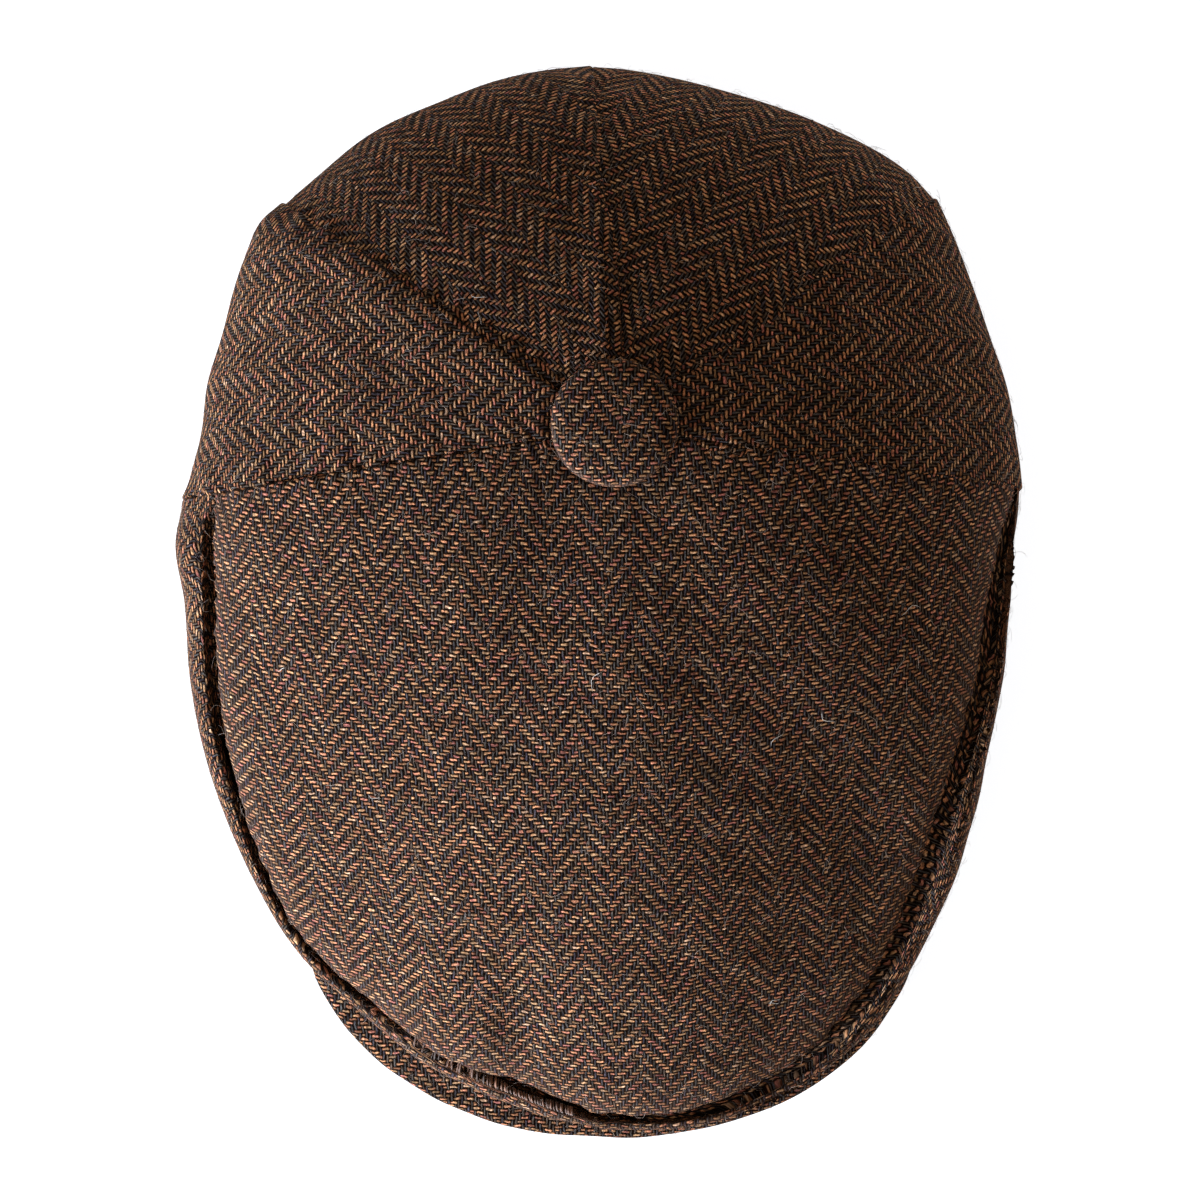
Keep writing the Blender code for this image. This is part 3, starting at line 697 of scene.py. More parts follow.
def threads(points, flat, cut):
    """Count warp and weft threads on the flat pattern, turned so that the warp follows the cut's lead."""
    column = int(cut.column * (points.shape[0] - 1))
    step = int(cut.step * (points.shape[1] - 1))
    along_columns = points[column + 1, step] - points[column - 1, step]
    along_steps = points[column, step + 1] - points[column, step - 1]
    ways = np.stack([along_columns, along_steps], axis=1)
    mix = np.linalg.lstsq(ways, np.array(cut.lead), rcond=None)[0]
    up = mix[0] * (flat[column + 1, step] - flat[column - 1, step])
    up = unit(up + mix[1] * (flat[column, step + 1] - flat[column, step - 1]))
    offset = flat - flat[column, step]
    ends = (offset[..., 0] * up[1] - offset[..., 1] * up[0]) / END_PITCH + cut.first_end
    picks = (offset @ up) / PICK_PITCH + cut.first_pick
    return np.stack([ends, picks], axis=2)


def carry_over(counted, base, outer):
    """Thread counts for cloth that turns down into its seams: out from the middle column, each step of
    the counts grows by how much longer the cloth is there than its base."""
    longer = np.linalg.norm(np.diff(outer, axis=0), axis=2) / np.linalg.norm(np.diff(base, axis=0), axis=2)
    run = np.concatenate([counted[:1], np.diff(counted, axis=0) * longer[..., None]]).cumsum(axis=0)
    middle = len(counted) // 2
    return run + counted[middle] - run[middle]


def flat_size(flat):
    """Width, length and area of a flat pattern."""
    width, length = np.ptp(flat.reshape(-1, 2), axis=0)
    first = flat[1:, 1:] - flat[:-1, :-1]
    second = flat[:-1, 1:] - flat[1:, :-1]
    area = np.abs(first[..., 0] * second[..., 1] - first[..., 1] * second[..., 0]).sum() / 2
    return float(width), float(length), float(area)


# Meshes and shells


def grid_quads(number):
    """Quads of a grid of point numbers, facing the way that normals() points."""
    corners = [number[:-1, :-1], number[:-1, 1:], number[1:, 1:], number[1:, :-1]]
    return np.stack(corners, axis=2).reshape(-1, 4)


def border(grid):
    """A grid's border points in order, once round."""
    return np.concatenate([grid[:-1, 0], grid[-1, :-1], grid[:0:-1, -1], grid[0, :0:-1]])


def border_out(points):
    """Unit directions that leave a grid's border along the surface, in the border's order."""
    out = np.zeros_like(points)
    down = np.gradient(points, axis=1)
    round_it = np.gradient(points, axis=0)
    out[:, 0] -= unit(down[:, 0])
    out[:, -1] += unit(down[:, -1])
    out[0] -= unit(round_it[0])
    out[-1] += unit(round_it[-1])
    return unit(border(out))


def border_step(grid):
    """How much a grid's values change over the last step out to its border, in the border's order."""
    step = np.zeros_like(grid)
    step[:, 0] = grid[:, 0] - grid[:, 1]
    step[:, -1] = grid[:, -1] - grid[:, -2]
    step[0] = grid[0] - grid[1]
    step[-1] = grid[-1] - grid[-2]
    return border(step)


def even_out(grid, rounds):
    """Average a grid's values with their neighbours, first along its columns and then along its steps."""
    for _ in range(rounds):
        grid[1:-1] = (grid[:-2] + 2 * grid[1:-1] + grid[2:]) / 4
        grid[:, 1:-1] = (grid[:, :-2] + 2 * grid[:, 1:-1] + grid[:, 2:]) / 4
    return grid


def add_mesh(name, points, faces, counted, material, marks):
    """Put points and faces into a mesh, with its thread counts as the UV map and marks as attributes.
    faces is one array, or one of quads and one of triangles."""
    faces = faces if isinstance(faces, tuple) else (faces,)
    mesh = bpy.data.meshes.new(name)
    mesh.from_pydata(points.tolist(), [], sum((part.tolist() for part in faces), []))
    layer = mesh.uv_layers.new(name="threads")
    corners = np.concatenate([part.reshape(-1) for part in faces])
    layer.data.foreach_set("uv", counted[corners].astype(np.float32).ravel())
    for title, values in marks.items():
        attribute = mesh.attributes.new(title, "FLOAT", "POINT")
        attribute.data.foreach_set("value", values.astype(np.float32))
    mesh.shade_smooth()
    mesh.materials.append(material)
    piece = bpy.data.objects.new(name, mesh)
    bpy.context.scene.collection.objects.link(piece)
    return piece


def add_shell(name, outer, wall, upright, nose, counted, nap, material):
    """Close a cloth surface into a shell. The inside lies a wall's thickness behind the outside, or
    straight below it where upright is 1, and the border between them is a half round that stands out
    nose times half the wall."""
    upright = upright[..., None]
    behind = unit(even_out(normals(outer) * (1.0 - upright) + upright * (0.0, 0.0, 1.0), rounds=8))
    inner = outer - behind * wall[..., None]
    number = np.arange(outer[..., 0].size).reshape(outer.shape[:2])
    ring = border(number)
    mid = border((outer + inner) / 2)
    up = border((outer - inner) / 2)
    out = border_out(outer) * np.linalg.norm(up, axis=1, keepdims=True) * border(nose)[:, None]
    loops = [mid + up * np.sin(bend) + out * np.cos(bend) for bend in np.radians((54, 18, -18, -54))]
    points = np.concatenate([outer.reshape(-1, 3), inner.reshape(-1, 3), *loops])
    numbers = [ring]
    numbers.extend(2 * number.size + np.arange(len(loops) * len(ring)).reshape(len(loops), -1))
    numbers.append(ring + number.size)
    quads = [grid_quads(number), grid_quads(number + number.size)[:, ::-1]]
    for near, far in zip(numbers[:-1], numbers[1:]):
        quads.append(np.stack([near, np.roll(near, -1), np.roll(far, -1), far], axis=1))
    face_counts = counted.reshape(-1, 2)
    growth = border_step(counted) / np.linalg.norm(border_step(outer), axis=1, keepdims=True).clip(1e-5)
    arcs = np.linalg.norm(np.diff([border(outer), *loops], axis=0), axis=2).cumsum(axis=0)
    loop_counts = [face_counts[ring] + growth * arc[:, None] for arc in arcs]
    counts = np.concatenate([face_counts, face_counts, *loop_counts])
    fuzz = nap.ravel()
    fuzz = np.concatenate([fuzz, fuzz] + [fuzz[ring]] * len(loops))
    return add_mesh(name, points, np.concatenate(quads), counts, material, {"nap": fuzz})


# The pieces of the cap


def finish_panel(name, columns, profile, first_layout, relief, walls, edge_nose, nap, material):
    base = place_sections(columns, profile)
    towards, _ = rays(columns)
    seeds = sum(map(ord, name))
    height = relief + slack(base, seeds, SIDE_SLACK if "side_panel" in name else PANEL_SLACK)
    away = np.full(base.shape[:2], 1.0)
    for end, seam in zip((0, -1), SEAMS[name]):
        height = height + seam_relief(base, towards[end], seam, seeds + end)
        away = np.minimum(away, from_seam(base, towards[end])[0])
    outer = base + normals(base) * height[..., None]
    wall, upright = walls
    wall = wall + (SEAM_WALL - CLOTH_WALL) * np.exp(-(away / SEAM_WALL_WIDTH) ** 2) * (1.0 - upright.max())
    wall = np.maximum(wall, edge_nose * SEAM_WALL * EDGE_WALL)
    nose = edge_nose.copy()
    nose[[0, -1]] = SEAM_NOSE
    flat = flat_cut(base, first_layout(base), "strip" in name)
    counted = carry_over(threads(base, flat, CUTS[name]), base, outer)
    piece = add_shell(name + "_cloth", outer, wall, upright, nose, counted, nap, material)
    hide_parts(name)
    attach(piece, "root")
    width, length, area = flat_size(flat)
    return outer


def spread_round_button(points):
    """First layout of a panel: each point as far from the button's axis as the cloth is long to it."""
    start = np.linalg.norm(points[:, 0, :2] - (BUTTON_X, BUTTON_Y), axis=1, keepdims=True)
    plan = unit(points[:, 1, :2] - (BUTTON_X, BUTTON_Y))
    return plan[:, None, :] * (run_down(points) + start)[..., None]


def roll_out_band(points):
    """First layout of a strip: its length along a step near its ridge, and each section's length down."""
    along = run_down(points[None, :, points.shape[1] // 4])[0]
    return np.stack([np.repeat(along[:, None], points.shape[1], axis=1), run_down(points)], axis=2)


def crown_distances(start, end, steps):
    """Distances along the rays that crowd towards their end, where a dome turns down."""
    shares = np.sin(np.linspace(0.0, np.pi / 2, steps + 1))
    return start + (end[:, None] - start) * shares


def add_panel(name, stretch, material):
    """A side or back panel: from the hole under the button, over the bulge, down to the band."""
    columns = follow(OUTLINE[stretch], crowd(count=111, ends=0.82))
    _, reach = rays(columns)
    distance = crown_distances(CROWN_HOLE_RADIUS, reach, steps=100)
    top = np.stack([distance, crown_top(columns, distance)], axis=2)
    profile = np.concatenate([top, crown_under(columns, steps=40)], axis=1)
    zero = np.zeros(profile.shape[:2])
    edge_nose = zero.copy()
    edge_nose[:, -1] = HEM_NOSE
    walls = (zero + CLOTH_WALL, zero)
    return finish_panel(name, columns, profile, spread_round_button, zero, walls, edge_nose, zero, material)


def add_front_panel(material):
    """The large front panel: from the hole under the button to its rolled edge over the strips."""
    shares = crowd(count=287, ends=0.86)
    shares = shares[:len(shares) // 2 + 1]
    shares = shares / shares[-1]
    columns = np.concatenate([
        follow(OUTLINE["strip_left"], shares),
        follow(OUTLINE["strip_right"], 1 - shares[::-1])[1:],
    ])
    _, reach = rays(columns)
    plan = outline_plan(columns)
    from_sides = np.minimum(*(np.linalg.norm(plan - plan[end], axis=1) for end in (0, -1)))
    room = EDGE_BACK * fade(from_sides / EDGE_BACK_FADE)
    edge = columns[:, 2] * reach - room + waver(columns, seed=7) * EDGE_WAVER
    distance = crown_distances(CROWN_HOLE_RADIUS, edge, steps=130)
    to_edge = edge[:, None] - distance
    roll = ROLL_DEPTH * (1 - fade(to_edge / ROLL_WIDTH))
    profile = np.stack([distance, crown_top(columns, distance) - roll], axis=2)
    turn_under = 1.0 - np.sqrt(1.0 - np.clip(1.0 - to_edge / EDGE_ROLL, 0.0, 1.0) ** 2)
    relief = dents(place_sections(columns, profile)) - EDGE_DROP * turn_under
    edge_nose = np.exp(-(to_edge / EDGE_ROLL) ** 2)
    nap = EDGE_NAP * np.exp(-to_edge / EDGE_NAP_REACH)
    walls = (np.full(distance.shape, CLOTH_WALL), np.zeros(distance.shape))
    return finish_panel("front_panel", columns, profile, spread_round_button, relief, walls, edge_nose, nap,
                        material)


def add_strip(name, stretch, material):
    """A side strip: from under the front panel's edge, over the bulge, to the band or the peak."""
    shares = crowd(count=261, ends=0.4)
    columns = follow(OUTLINE[stretch], shares)
    _, reach = rays(columns)
    edge = columns[:, 2:3] * reach[:, None]
    width = reach[:, None] - edge
    tucked = edge - STRIP_TUCK * np.linspace(1.0, 1.0 / TUCK_STEPS, TUCK_STEPS)
    tuck = inwards(np.stack([tucked, crown_top(columns, tucked)], axis=2), STRIP_UNDER)
    under = slice(TUCK_STEPS)
    over = slice(TUCK_STEPS, TUCK_STEPS + RIDGE_STEPS)

    turn = np.linspace(0.0, np.pi / 2, RIDGE_STEPS)[None, :]
    distance = edge + width * np.sin(turn) ** (2 / SHOULDER)
    bulge = columns[:, 3:4] * BULGE_HEIGHT
    flat_top = crown_top(columns, edge) - RIDGE_DROP
    shoulder = bulge + np.maximum(flat_top - bulge, 0.0) * np.cos(turn) ** (2 / SHOULDER)
    from_side = np.linalg.norm(outline_plan(columns) - outline_plan(SIDE_SEAM_ENDS[name]), axis=1)[:, None]
    opens = fade((from_side - GAP_START) / GAP_START_RUN)
    crown = crown_top(columns, distance)
    wide = np.interp(shares, *GAP_OPENS[name])[:, None]
    uneven = 1.0 + GAP_WAVER * waver(columns, seed=8)[:, None]
    gap = np.minimum(GAP_WIDTH * wide * uneven, GAP_MOST * width)
    across_gap = np.clip((distance - edge) / gap, 0.0, 1.0)
    deep = GAP_SHUT_DEPTH * fade(from_side / GAP_SHUT_RUN) + (1.0 - GAP_SHUT_DEPTH) * opens * wide
    valley = GAP_DEPTH * deep * (1.0 - fade((across_gap - GAP_FLAT) / (1.0 - GAP_FLAT)))
    top = np.stack([distance, crown + (shoulder - crown) * opens - valley], axis=2)
    profile = np.concatenate([tuck, top, crown_under(columns, steps=30)], axis=1)

    zero = np.zeros(profile.shape[:2])
    shown = np.clip((distance - edge) / width, 0.0, 1.0)
    follows_panel = zero.copy()
    follows_panel[:, under] = 1.0
    follows_panel[:, over] = 1.0 - shown
    relief = dents(place_sections(columns, profile)) * follows_panel
    edge_nose = zero.copy()
    edge_nose[:, -1] = HEM_NOSE
    nap = zero.copy()
    from_ridge = (distance - edge - RIDGE_NAP_PLACE * width) / RIDGE_NAP_WIDTH
    nap[:, over] = RIDGE_NAP * across_gap * np.exp(-from_ridge ** 2)
    wall = zero + CLOTH_WALL
    wall[:, :over.stop] = np.minimum(RIDGE_WALL * (width - gap), CLOTH_WALL)
    upright = zero.copy()
    upright[:, under] = 1.0
    upright[:, over] = 1.0 - fade((across_gap - 0.7) / 0.3)
    walls = (even_out(wall, rounds=10), upright)
    return finish_panel(name, columns, profile, roll_out_band, relief, walls, edge_nose, nap, material)


def finish_solid(name, node, points, quads, counted, material, nap=None):
    """Put a closed piece in the scene in place of its node. Nap is 0 all over unless it is given."""
    nap = np.zeros(len(points)) if nap is None else nap
    piece = add_mesh(name, points, quads, counted, material, {"nap": nap})
    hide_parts(node)
    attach(piece, "root")


def add_peak(material):
    """The peak: sections from the band out to its half round edge and back over the top, round a stiff
    board. Its cloth is counted by the distance along the section from the edge, so it wraps round."""
    towards, root, flat_reach = peak_rays(PEAK_SHARES)
    out, up = peak_nose(PEAK_NOSE_STEPS)
    share = np.sin(np.linspace(0.0, np.pi / 2, PEAK_STEPS))
    flat = root[:, None] + (flat_reach - root)[:, None] * share
    distance = np.concatenate([flat, flat_reach[:, None] + out, flat[:, ::-1]], axis=1)
    thick = np.concatenate([np.zeros(PEAK_STEPS), up, np.full(PEAK_STEPS, PEAK_THICKNESS)])
    plan = np.array([HEAD_X, HEAD_Y]) + towards[:, None, :] * distance[..., None]
    height = peak_under(plan[..., 0], plan[..., 1]) + thick
    points = np.concatenate([plan, height[..., None]], axis=2)
    rise = slack(points, seed=5, height=PANEL_SLACK) * (thick > 0)
    points += normals(points) * rise[..., None]

    run = run_down(points)
    middle = PEAK_STEPS + PEAK_NOSE_STEPS // 2
    tip = run[:, middle - 1:middle + 1].mean(axis=1, keepdims=True)
    spread_out = distance.max(axis=1, keepdims=True) - np.abs(run - tip)
    cloth = towards[:, None, :] * spread_out[..., None]
    counted = cloth / (END_PITCH, PICK_PITCH) + (PEAK_FIRST_END, 0.0)

    number = np.arange(height.size).reshape(height.shape)
    round_it = np.concatenate([number, number[:, :1]], axis=1)
    quads = [grid_quads(round_it)[:, ::-1]]
    half = height.shape[1] // 2
    for row, way in ((number[0], 1), (number[-1], -1)):
        near, far = row[:half], row[:half - 1:-1]
        quads.append(np.stack([near[:-1], near[1:], far[1:], far[:-1]], axis=1)[:, ::way])
    finish_solid("peak_cover", "peak", points.reshape(-1, 3), np.concatenate(quads),
                 counted.reshape(-1, 2), material)
    return points[:, :PEAK_STEPS - 1:-1]


def add_button(material):
    """The covered button: a flat dome turned about its axis, slightly uneven and tilted, with a crease
    where its cloth is drawn round the rim. From the rim the dome rises as (1 - share ^ 3.4) ^ 0.42 of
    the rest of its thickness, and below the rim it turns in as a quarter oval to the shank."""
    angle = np.linspace(0.0, 2 * np.pi, 97)[:-1]
    bend = np.linspace(0.0, np.pi / 2, 30)[1:]
    share = np.sin(bend) ** 0.85
    dome_out = BUTTON_DIAMETER / 2 * share
    dome_up = BUTTON_RIM + (1.0 - BUTTON_RIM) * (1.0 - share ** 3.4) ** 0.42
    under = np.linspace(0.0, np.pi / 2, 12)[1:]
    under_out = BUTTON_DIAMETER / 2 - (BUTTON_DIAMETER / 2 - BUTTON_FOOT) * (1 - np.cos(under))
    under_up = BUTTON_RIM * (1 - np.sin(under))
    out = np.concatenate([dome_out, under_out, [SHANK_RADIUS, SHANK_RADIUS]])
    up = np.concatenate([dome_up, under_up, [0.0, -SHANK_SHARE]]) * BUTTON_THICKNESS
    base = BUTTON_TOP - BUTTON_THICKNESS
    ring = np.stack([np.cos(angle), np.sin(angle)], axis=1)
    wide = 1.0 + 0.006 * np.cos(3 * angle + 0.8) + 0.004 * np.cos(5 * angle)
    plan = ring[:, None, :] * out[None, :, None] * wide[:, None, None]
    height = np.repeat((base + up)[None, :], len(angle), axis=0)
    from_axis = np.linalg.norm(plan, axis=2)
    crease = np.exp(-((plan - CREASE) ** 2).sum(axis=2) / CREASE_REACH ** 2)
    groove = np.exp(-((from_axis - CREASE_RADIUS) / CREASE_WIDTH) ** 2)
    tilt = BUTTON_TILT * (plan @ BUTTON_TILT_WAY) * fade(up / (BUTTON_TILT_SHARE * BUTTON_THICKNESS))
    height += tilt - CREASE_DEPTH * crease * groove
    centre = np.array([BUTTON_X, BUTTON_Y + BUTTON_SETBACK])
    points = np.concatenate([plan + centre, height[..., None]], axis=2)

    run = np.cumsum(np.hypot(np.diff(out, prepend=0.0), np.diff(base + up, prepend=BUTTON_TOP)))
    middle = (BUTTON_FIRST_END, 0.0)
    counted = ring[:, None, :] * run[None, :, None] / (END_PITCH, PICK_PITCH) + middle
    poles = np.array([[*centre, BUTTON_TOP], [*centre, base - SHANK_SHARE * BUTTON_THICKNESS]])
    number = np.arange(height.size).reshape(height.shape)
    round_it = np.concatenate([number, number[:1]])
    quads = grid_quads(round_it)
    top, bottom = height.size, height.size + 1
    first, last = round_it[:, 0], round_it[:, -1]
    triangles = np.concatenate([
        np.stack([np.full(len(angle), top), first[:-1], first[1:]], axis=1),
        np.stack([np.full(len(angle), bottom), last[1:], last[:-1]], axis=1),
    ])
    counted = np.concatenate([counted.reshape(-1, 2), [middle, middle]])
    points_all = np.concatenate([points.reshape(-1, 3), poles])
    rim_nap_and_highlight = RIM_NAP_AND_HIGHLIGHT * np.exp(-((from_axis - RIM_NAP_AND_HIGHLIGHT_RADIUS) / RIM_NAP_AND_HIGHLIGHT_WIDTH) ** 2)
    # Painted highlight: the rim's pale line is strongest on its lower left, the side that faces the key light
    rim_nap_and_highlight *= 0.2 + 0.8 * fade(-(plan @ (0.4, 0.9)) / 0.012)
    finish_solid("button_cover", "button", points_all, (quads, triangles), counted, material,
                 np.append(rim_nap_and_highlight, [0.0, 0.0]))
    return points[:, :len(dome_out) + 3]


def add_head_band(material):
    """The band round the head opening: an oval ring with rounded edges, standing along the rim."""
    angle = np.linspace(0.0, 2 * np.pi, 181)[:-1]
    ring = np.stack([np.cos(angle), np.sin(angle)], axis=1)
    bend = np.radians(np.concatenate([np.linspace(180, 360, 9), np.linspace(0, 180, 9)]))
    edge = BAND_WALL / 2
    out = edge * np.cos(bend)
    up = edge + edge * np.sin(bend) + (BAND_HEIGHT - BAND_WALL) * (np.arange(bend.size) >= bend.size // 2)
    half = np.array([HEAD_WIDTH, HEAD_LENGTH]) / 2 + edge
    plan = ring[:, None, :] * (half + out[None, :, None]) + (HEAD_X, HEAD_Y)
    low = rim_height(*(ring * (half + edge) + (HEAD_X, HEAD_Y)).T)
    height = low[:, None] + up
    points = np.concatenate([plan, height[..., None]], axis=2)
    number = np.arange(height.size).reshape(height.shape)
    round_it = np.pad(number, ((0, 1), (0, 1)), mode="wrap")
    around = np.repeat(angle[:, None] * half.mean(), bend.size, axis=1)
    counted = np.stack([around, np.repeat(up[None, :], len(angle), axis=0)], axis=2) / END_PITCH
    finish_solid("head_band_ring", "head_band", points.reshape(-1, 3),
                 grid_quads(round_it)[:, ::-1], counted.reshape(-1, 2), material)


# Nap, thread ends and stray fibres


def scatter(surfaces, count, draw):
    """Random places on grids of points, evenly by area, with the cloth's normal at each."""
    here, across, down = (
        np.concatenate([grid[rows, columns].reshape(-1, 3) for grid in surfaces])
        for rows, columns in (
            (slice(None, -1), slice(None, -1)),
            (slice(1, None), slice(None, -1)),
            (slice(None, -1), slice(1, None)),
        )
    )
    upwards = np.cross(down - here, across - here)
    area = np.linalg.norm(upwards, axis=1)
    chosen = draw.choice(len(area), count, p=area / area.sum())
    shares = draw.uniform(size=(2, count, 1))
    places = here[chosen] + shares[0] * (across - here)[chosen] + shares[1] * (down - here)[chosen]
    return places, upwards[chosen] / area[chosen, None]


def fibre_lines(roots, up, forward, length, lift, curl, draw):
    """Points along each fibre: it leaves the cloth, arches to its lift and comes down again or not, and
    swings from side to side by its curl."""
    share = np.linspace(0.0, 1.0, FIBRE_POINTS)[None, :]
    arc = draw.uniform(1.4, 3.6, (len(roots), 1))
    swing = draw.uniform(2.0, 7.5, (len(roots), 1))
    start = draw.uniform(0.0, 2 * np.pi, (len(roots), 1))
    aside = np.cross(up, forward)
    run = (length[:, None] * share)[..., None] * forward[:, None, :]
    rise = (lift[:, None] * np.sin(arc * share) - FIBRE_SINK)[..., None] * up[:, None, :]
    sway = (curl[:, None] * (np.sin(swing * share + start) - np.sin(start)))[..., None] * aside[:, None, :]
    return roots[:, None, :] + run + rise + sway


def add_fibres(name, lines, thickness, shade, material):
    """Wool fibres as thin tubes with three sides and pointed ends, one along each line of points. shade
    is how pale each one is."""
    along = unit(np.gradient(lines, axis=1))
    aside = unit(np.cross(along, [0.13, 0.31, 0.94]))
    other = np.cross(along, aside)
    half = thickness[:, None, None] / 2
    corners = [
        lines + half * (np.cos(turn) * aside + np.sin(turn) * other)
        for turn in np.radians((0, 120, 240))
    ]
    rings = np.stack(corners, axis=2)[:, 1:-1]
    count, stations = rings.shape[:2]
    points = np.concatenate([rings.reshape(count, -1, 3), lines[:, :1], lines[:, -1:]], axis=1)
    number = np.arange(points.shape[0] * points.shape[1]).reshape(points.shape[:2])
    ring = number[:, :-2].reshape(count, stations, 3)
    beside = np.roll(ring, -1, axis=2)
    quads = np.stack([ring[:, :-1], beside[:, :-1], beside[:, 1:], ring[:, 1:]], axis=3)
    start = number[:, -2:-1].repeat(3, axis=1)
    end = number[:, -1:].repeat(3, axis=1)
    triangles = np.concatenate([
        np.stack([start, beside[:, 0], ring[:, 0]], axis=2),
        np.stack([ring[:, -1], beside[:, -1], end], axis=2),
    ])
    shades = np.repeat(shade, points.shape[1])
    piece = add_mesh(name, points.reshape(-1, 3), (quads.reshape(-1, 4), triangles.reshape(-1, 3)),
                     np.stack([shades, shades], axis=1), material, {"shade": shades})
    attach(piece, "root")


def add_fuzz(surfaces, material):
    """The nap of the tweed: short fine fibres all over the cloth."""
    draw = np.random.default_rng(11)
    count = 7600
    roots, up = scatter(surfaces, count, draw)
    forward = unit(np.cross(up, draw.normal(size=(count, 3))))
    length = draw.uniform(0.0015, 0.0055, count)
    lift = length * draw.uniform(0.05, 0.26, count)
    curl = length * draw.uniform(0.05, 0.28, count)
    thickness = draw.uniform(0.00004, 0.00009, count)
    shade = draw.uniform(0.0, 1.0, count) ** 2
    lines = fibre_lines(roots, up, forward, length, lift, curl, draw)
    add_fibres("wool_nap", lines, thickness, shade, material)


def add_gap_threads(strip, material):
    """Thread ends of the left strip that show in the gap in front: short thick slanting strands from
    under the front panel's edge to the strip's ridge, each bowed up a little."""
    draw = np.random.default_rng(21)
    count = 54
    column = np.linspace(0.69, 0.94, count) * (len(strip) - 1) + draw.uniform(-0.4, 0.4, count)
    slant = draw.uniform(0.6, 1.6, count)
    ends = []
    for place, step, lift in ((column, TUCK_STEPS + 1, 0.0035), (column + slant, TUCK_STEPS + 10, 0.0002)):
        near = place.astype(int)
        share = (place - near)[:, None]
        ends.append(strip[near, step] * (1.0 - share) + strip[near + 1, step] * share + (0.0, 0.0, lift))
    share = np.linspace(0.0, 1.0, FIBRE_POINTS)[None, :, None]
    lines = ends[0][:, None] + (ends[1] - ends[0])[:, None] * share
    lines += (0.0, 0.0, GAP_THREAD_BOW) * np.sin(np.pi * share)
    thickness = draw.uniform(0.00045, 0.00080, count)
    add_fibres("gap_threads", lines, thickness, draw.uniform(0.0, 1.0, count), material)


def add_stray_fibres(surfaces, material):
    """The few long pale fibres that lie on the crown, each on the cloth nearest to its own place, where
    higher cloth counts as nearer."""
    draw = np.random.default_rng(3)
    cloth = np.concatenate([grid.reshape(-1, 3) for grid in surfaces])
    upwards = np.concatenate([normals(grid).reshape(-1, 3) for grid in surfaces])
    plan = np.array([(row.across, row.along) for row in STRAYS]) * (CAP_WIDTH / 2, CAP_LENGTH / 2)
    away = np.linalg.norm(cloth[None, :, :2] - plan[:, None, :], axis=2) - 0.05 * cloth[None, :, 2]
    nearest = away.argmin(axis=1)
    up = upwards[nearest]
    turn = np.radians([row.turn for row in STRAYS])
    forward = np.stack([np.cos(turn), np.sin(turn), 0 * turn], axis=1)
    forward = unit(forward - (forward * up).sum(axis=1, keepdims=True) * up)
    length = np.array([row.length for row in STRAYS])
    curl = np.array([row.curl for row in STRAYS])
    shade = np.array([row.shade for row in STRAYS])
    lines = fibre_lines(cloth[nearest] + 0.0002 * up, up, forward, length, 0.12 * length, curl, draw)
    add_fibres("stray_fibres", lines, np.full(len(STRAYS), STRAY_THICKNESS), shade, material)


# Nodes and materials


class Wire:
    """A number or colour that flows through a node tree. Sums with wires or numbers add Math nodes."""

    def __init__(self, tree, socket):
        self.tree = tree
        self.socket = socket

    def join(self, target):
        """Lead this wire to a socket."""
        self.tree.links.new(self.socket, target)

    def math(self, operation, *others):
        """Add one Math node with this wire first."""
        node = self.tree.nodes.new("ShaderNodeMath")
        node.operation = operation
        for place, value in enumerate((self, *others)):
            feed(node.inputs[place], value)
        return Wire(self.tree, node.outputs[0])

    def __add__(self, other):
        return self.math("ADD", other)

    def __sub__(self, other):
        return self.math("SUBTRACT", other)

    def __mul__(self, other):
        return self.math("MULTIPLY", other)

    def __mod__(self, other):
        return self.math("FLOORED_MODULO", other)

    def floor(self):
        return self.math("FLOOR")

    def clip(self, low=0.0, high=1.0):
        return self.math("MAXIMUM", low).math("MINIMUM", high)

    def rise(self, low, high):
        """0 below low, 1 above high, straight between them."""
        return ((self - low) * (1.0 / (high - low))).clip()


def feed(socket, value):
    """Fill a socket: link a wire, or type in a number or a colour."""
    if isinstance(value, Wire):
        value.join(socket)
    elif isinstance(value, tuple) and len(value) == 3 and socket.type == "RGBA":
        socket.default_value = (*value, 1.0)
    else:
        socket.default_value = value


def bundle(x, y, z=0.0):
    """Join three numbers into a vector with a Combine XYZ node."""
    node = x.tree.nodes.new("ShaderNodeCombineXYZ")
    for place, value in enumerate((x, y, z)):
        feed(node.inputs[place], value)
    return Wire(x.tree, node.outputs[0])


def cloud(vector, scale=1.0, detail=2.0, distortion=0.0, output="Fac"):
    """Smooth noise at a vector."""
    node = vector.tree.nodes.new("ShaderNodeTexNoise")
    node.inputs["Scale"].default_value = scale
    node.inputs["Detail"].default_value = detail
    node.inputs["Distortion"].default_value = distortion
    vector.join(node.inputs["Vector"])
    return Wire(vector.tree, node.outputs[output])


def chance(vector):
    """Three random numbers for each whole numbered place."""
    node = vector.tree.nodes.new("ShaderNodeTexWhiteNoise")
    vector.join(node.inputs["Vector"])
    apart = vector.tree.nodes.new("ShaderNodeSeparateColor")
    vector.tree.links.new(node.outputs["Color"], apart.inputs[0])
    return [Wire(vector.tree, output) for output in apart.outputs]


def mix(factor, first, second, blend="MIX"):
    """Blend two colours by a factor."""
    node = factor.tree.nodes.new("ShaderNodeMix")
    node.data_type = "RGBA"
    node.blend_type = blend
    feed(node.inputs["Factor"], factor)
    feed(node.inputs[6], first)
    feed(node.inputs[7], second)
    return Wire(factor.tree, node.outputs[2])


def dim(colour, strength):
    """Multiply a colour by a number."""
    node = colour.tree.nodes.new("ShaderNodeVectorMath")
    node.operation = "SCALE"
    colour.join(node.inputs[0])
    strength.join(node.inputs["Scale"])
    return Wire(colour.tree, node.outputs[0])


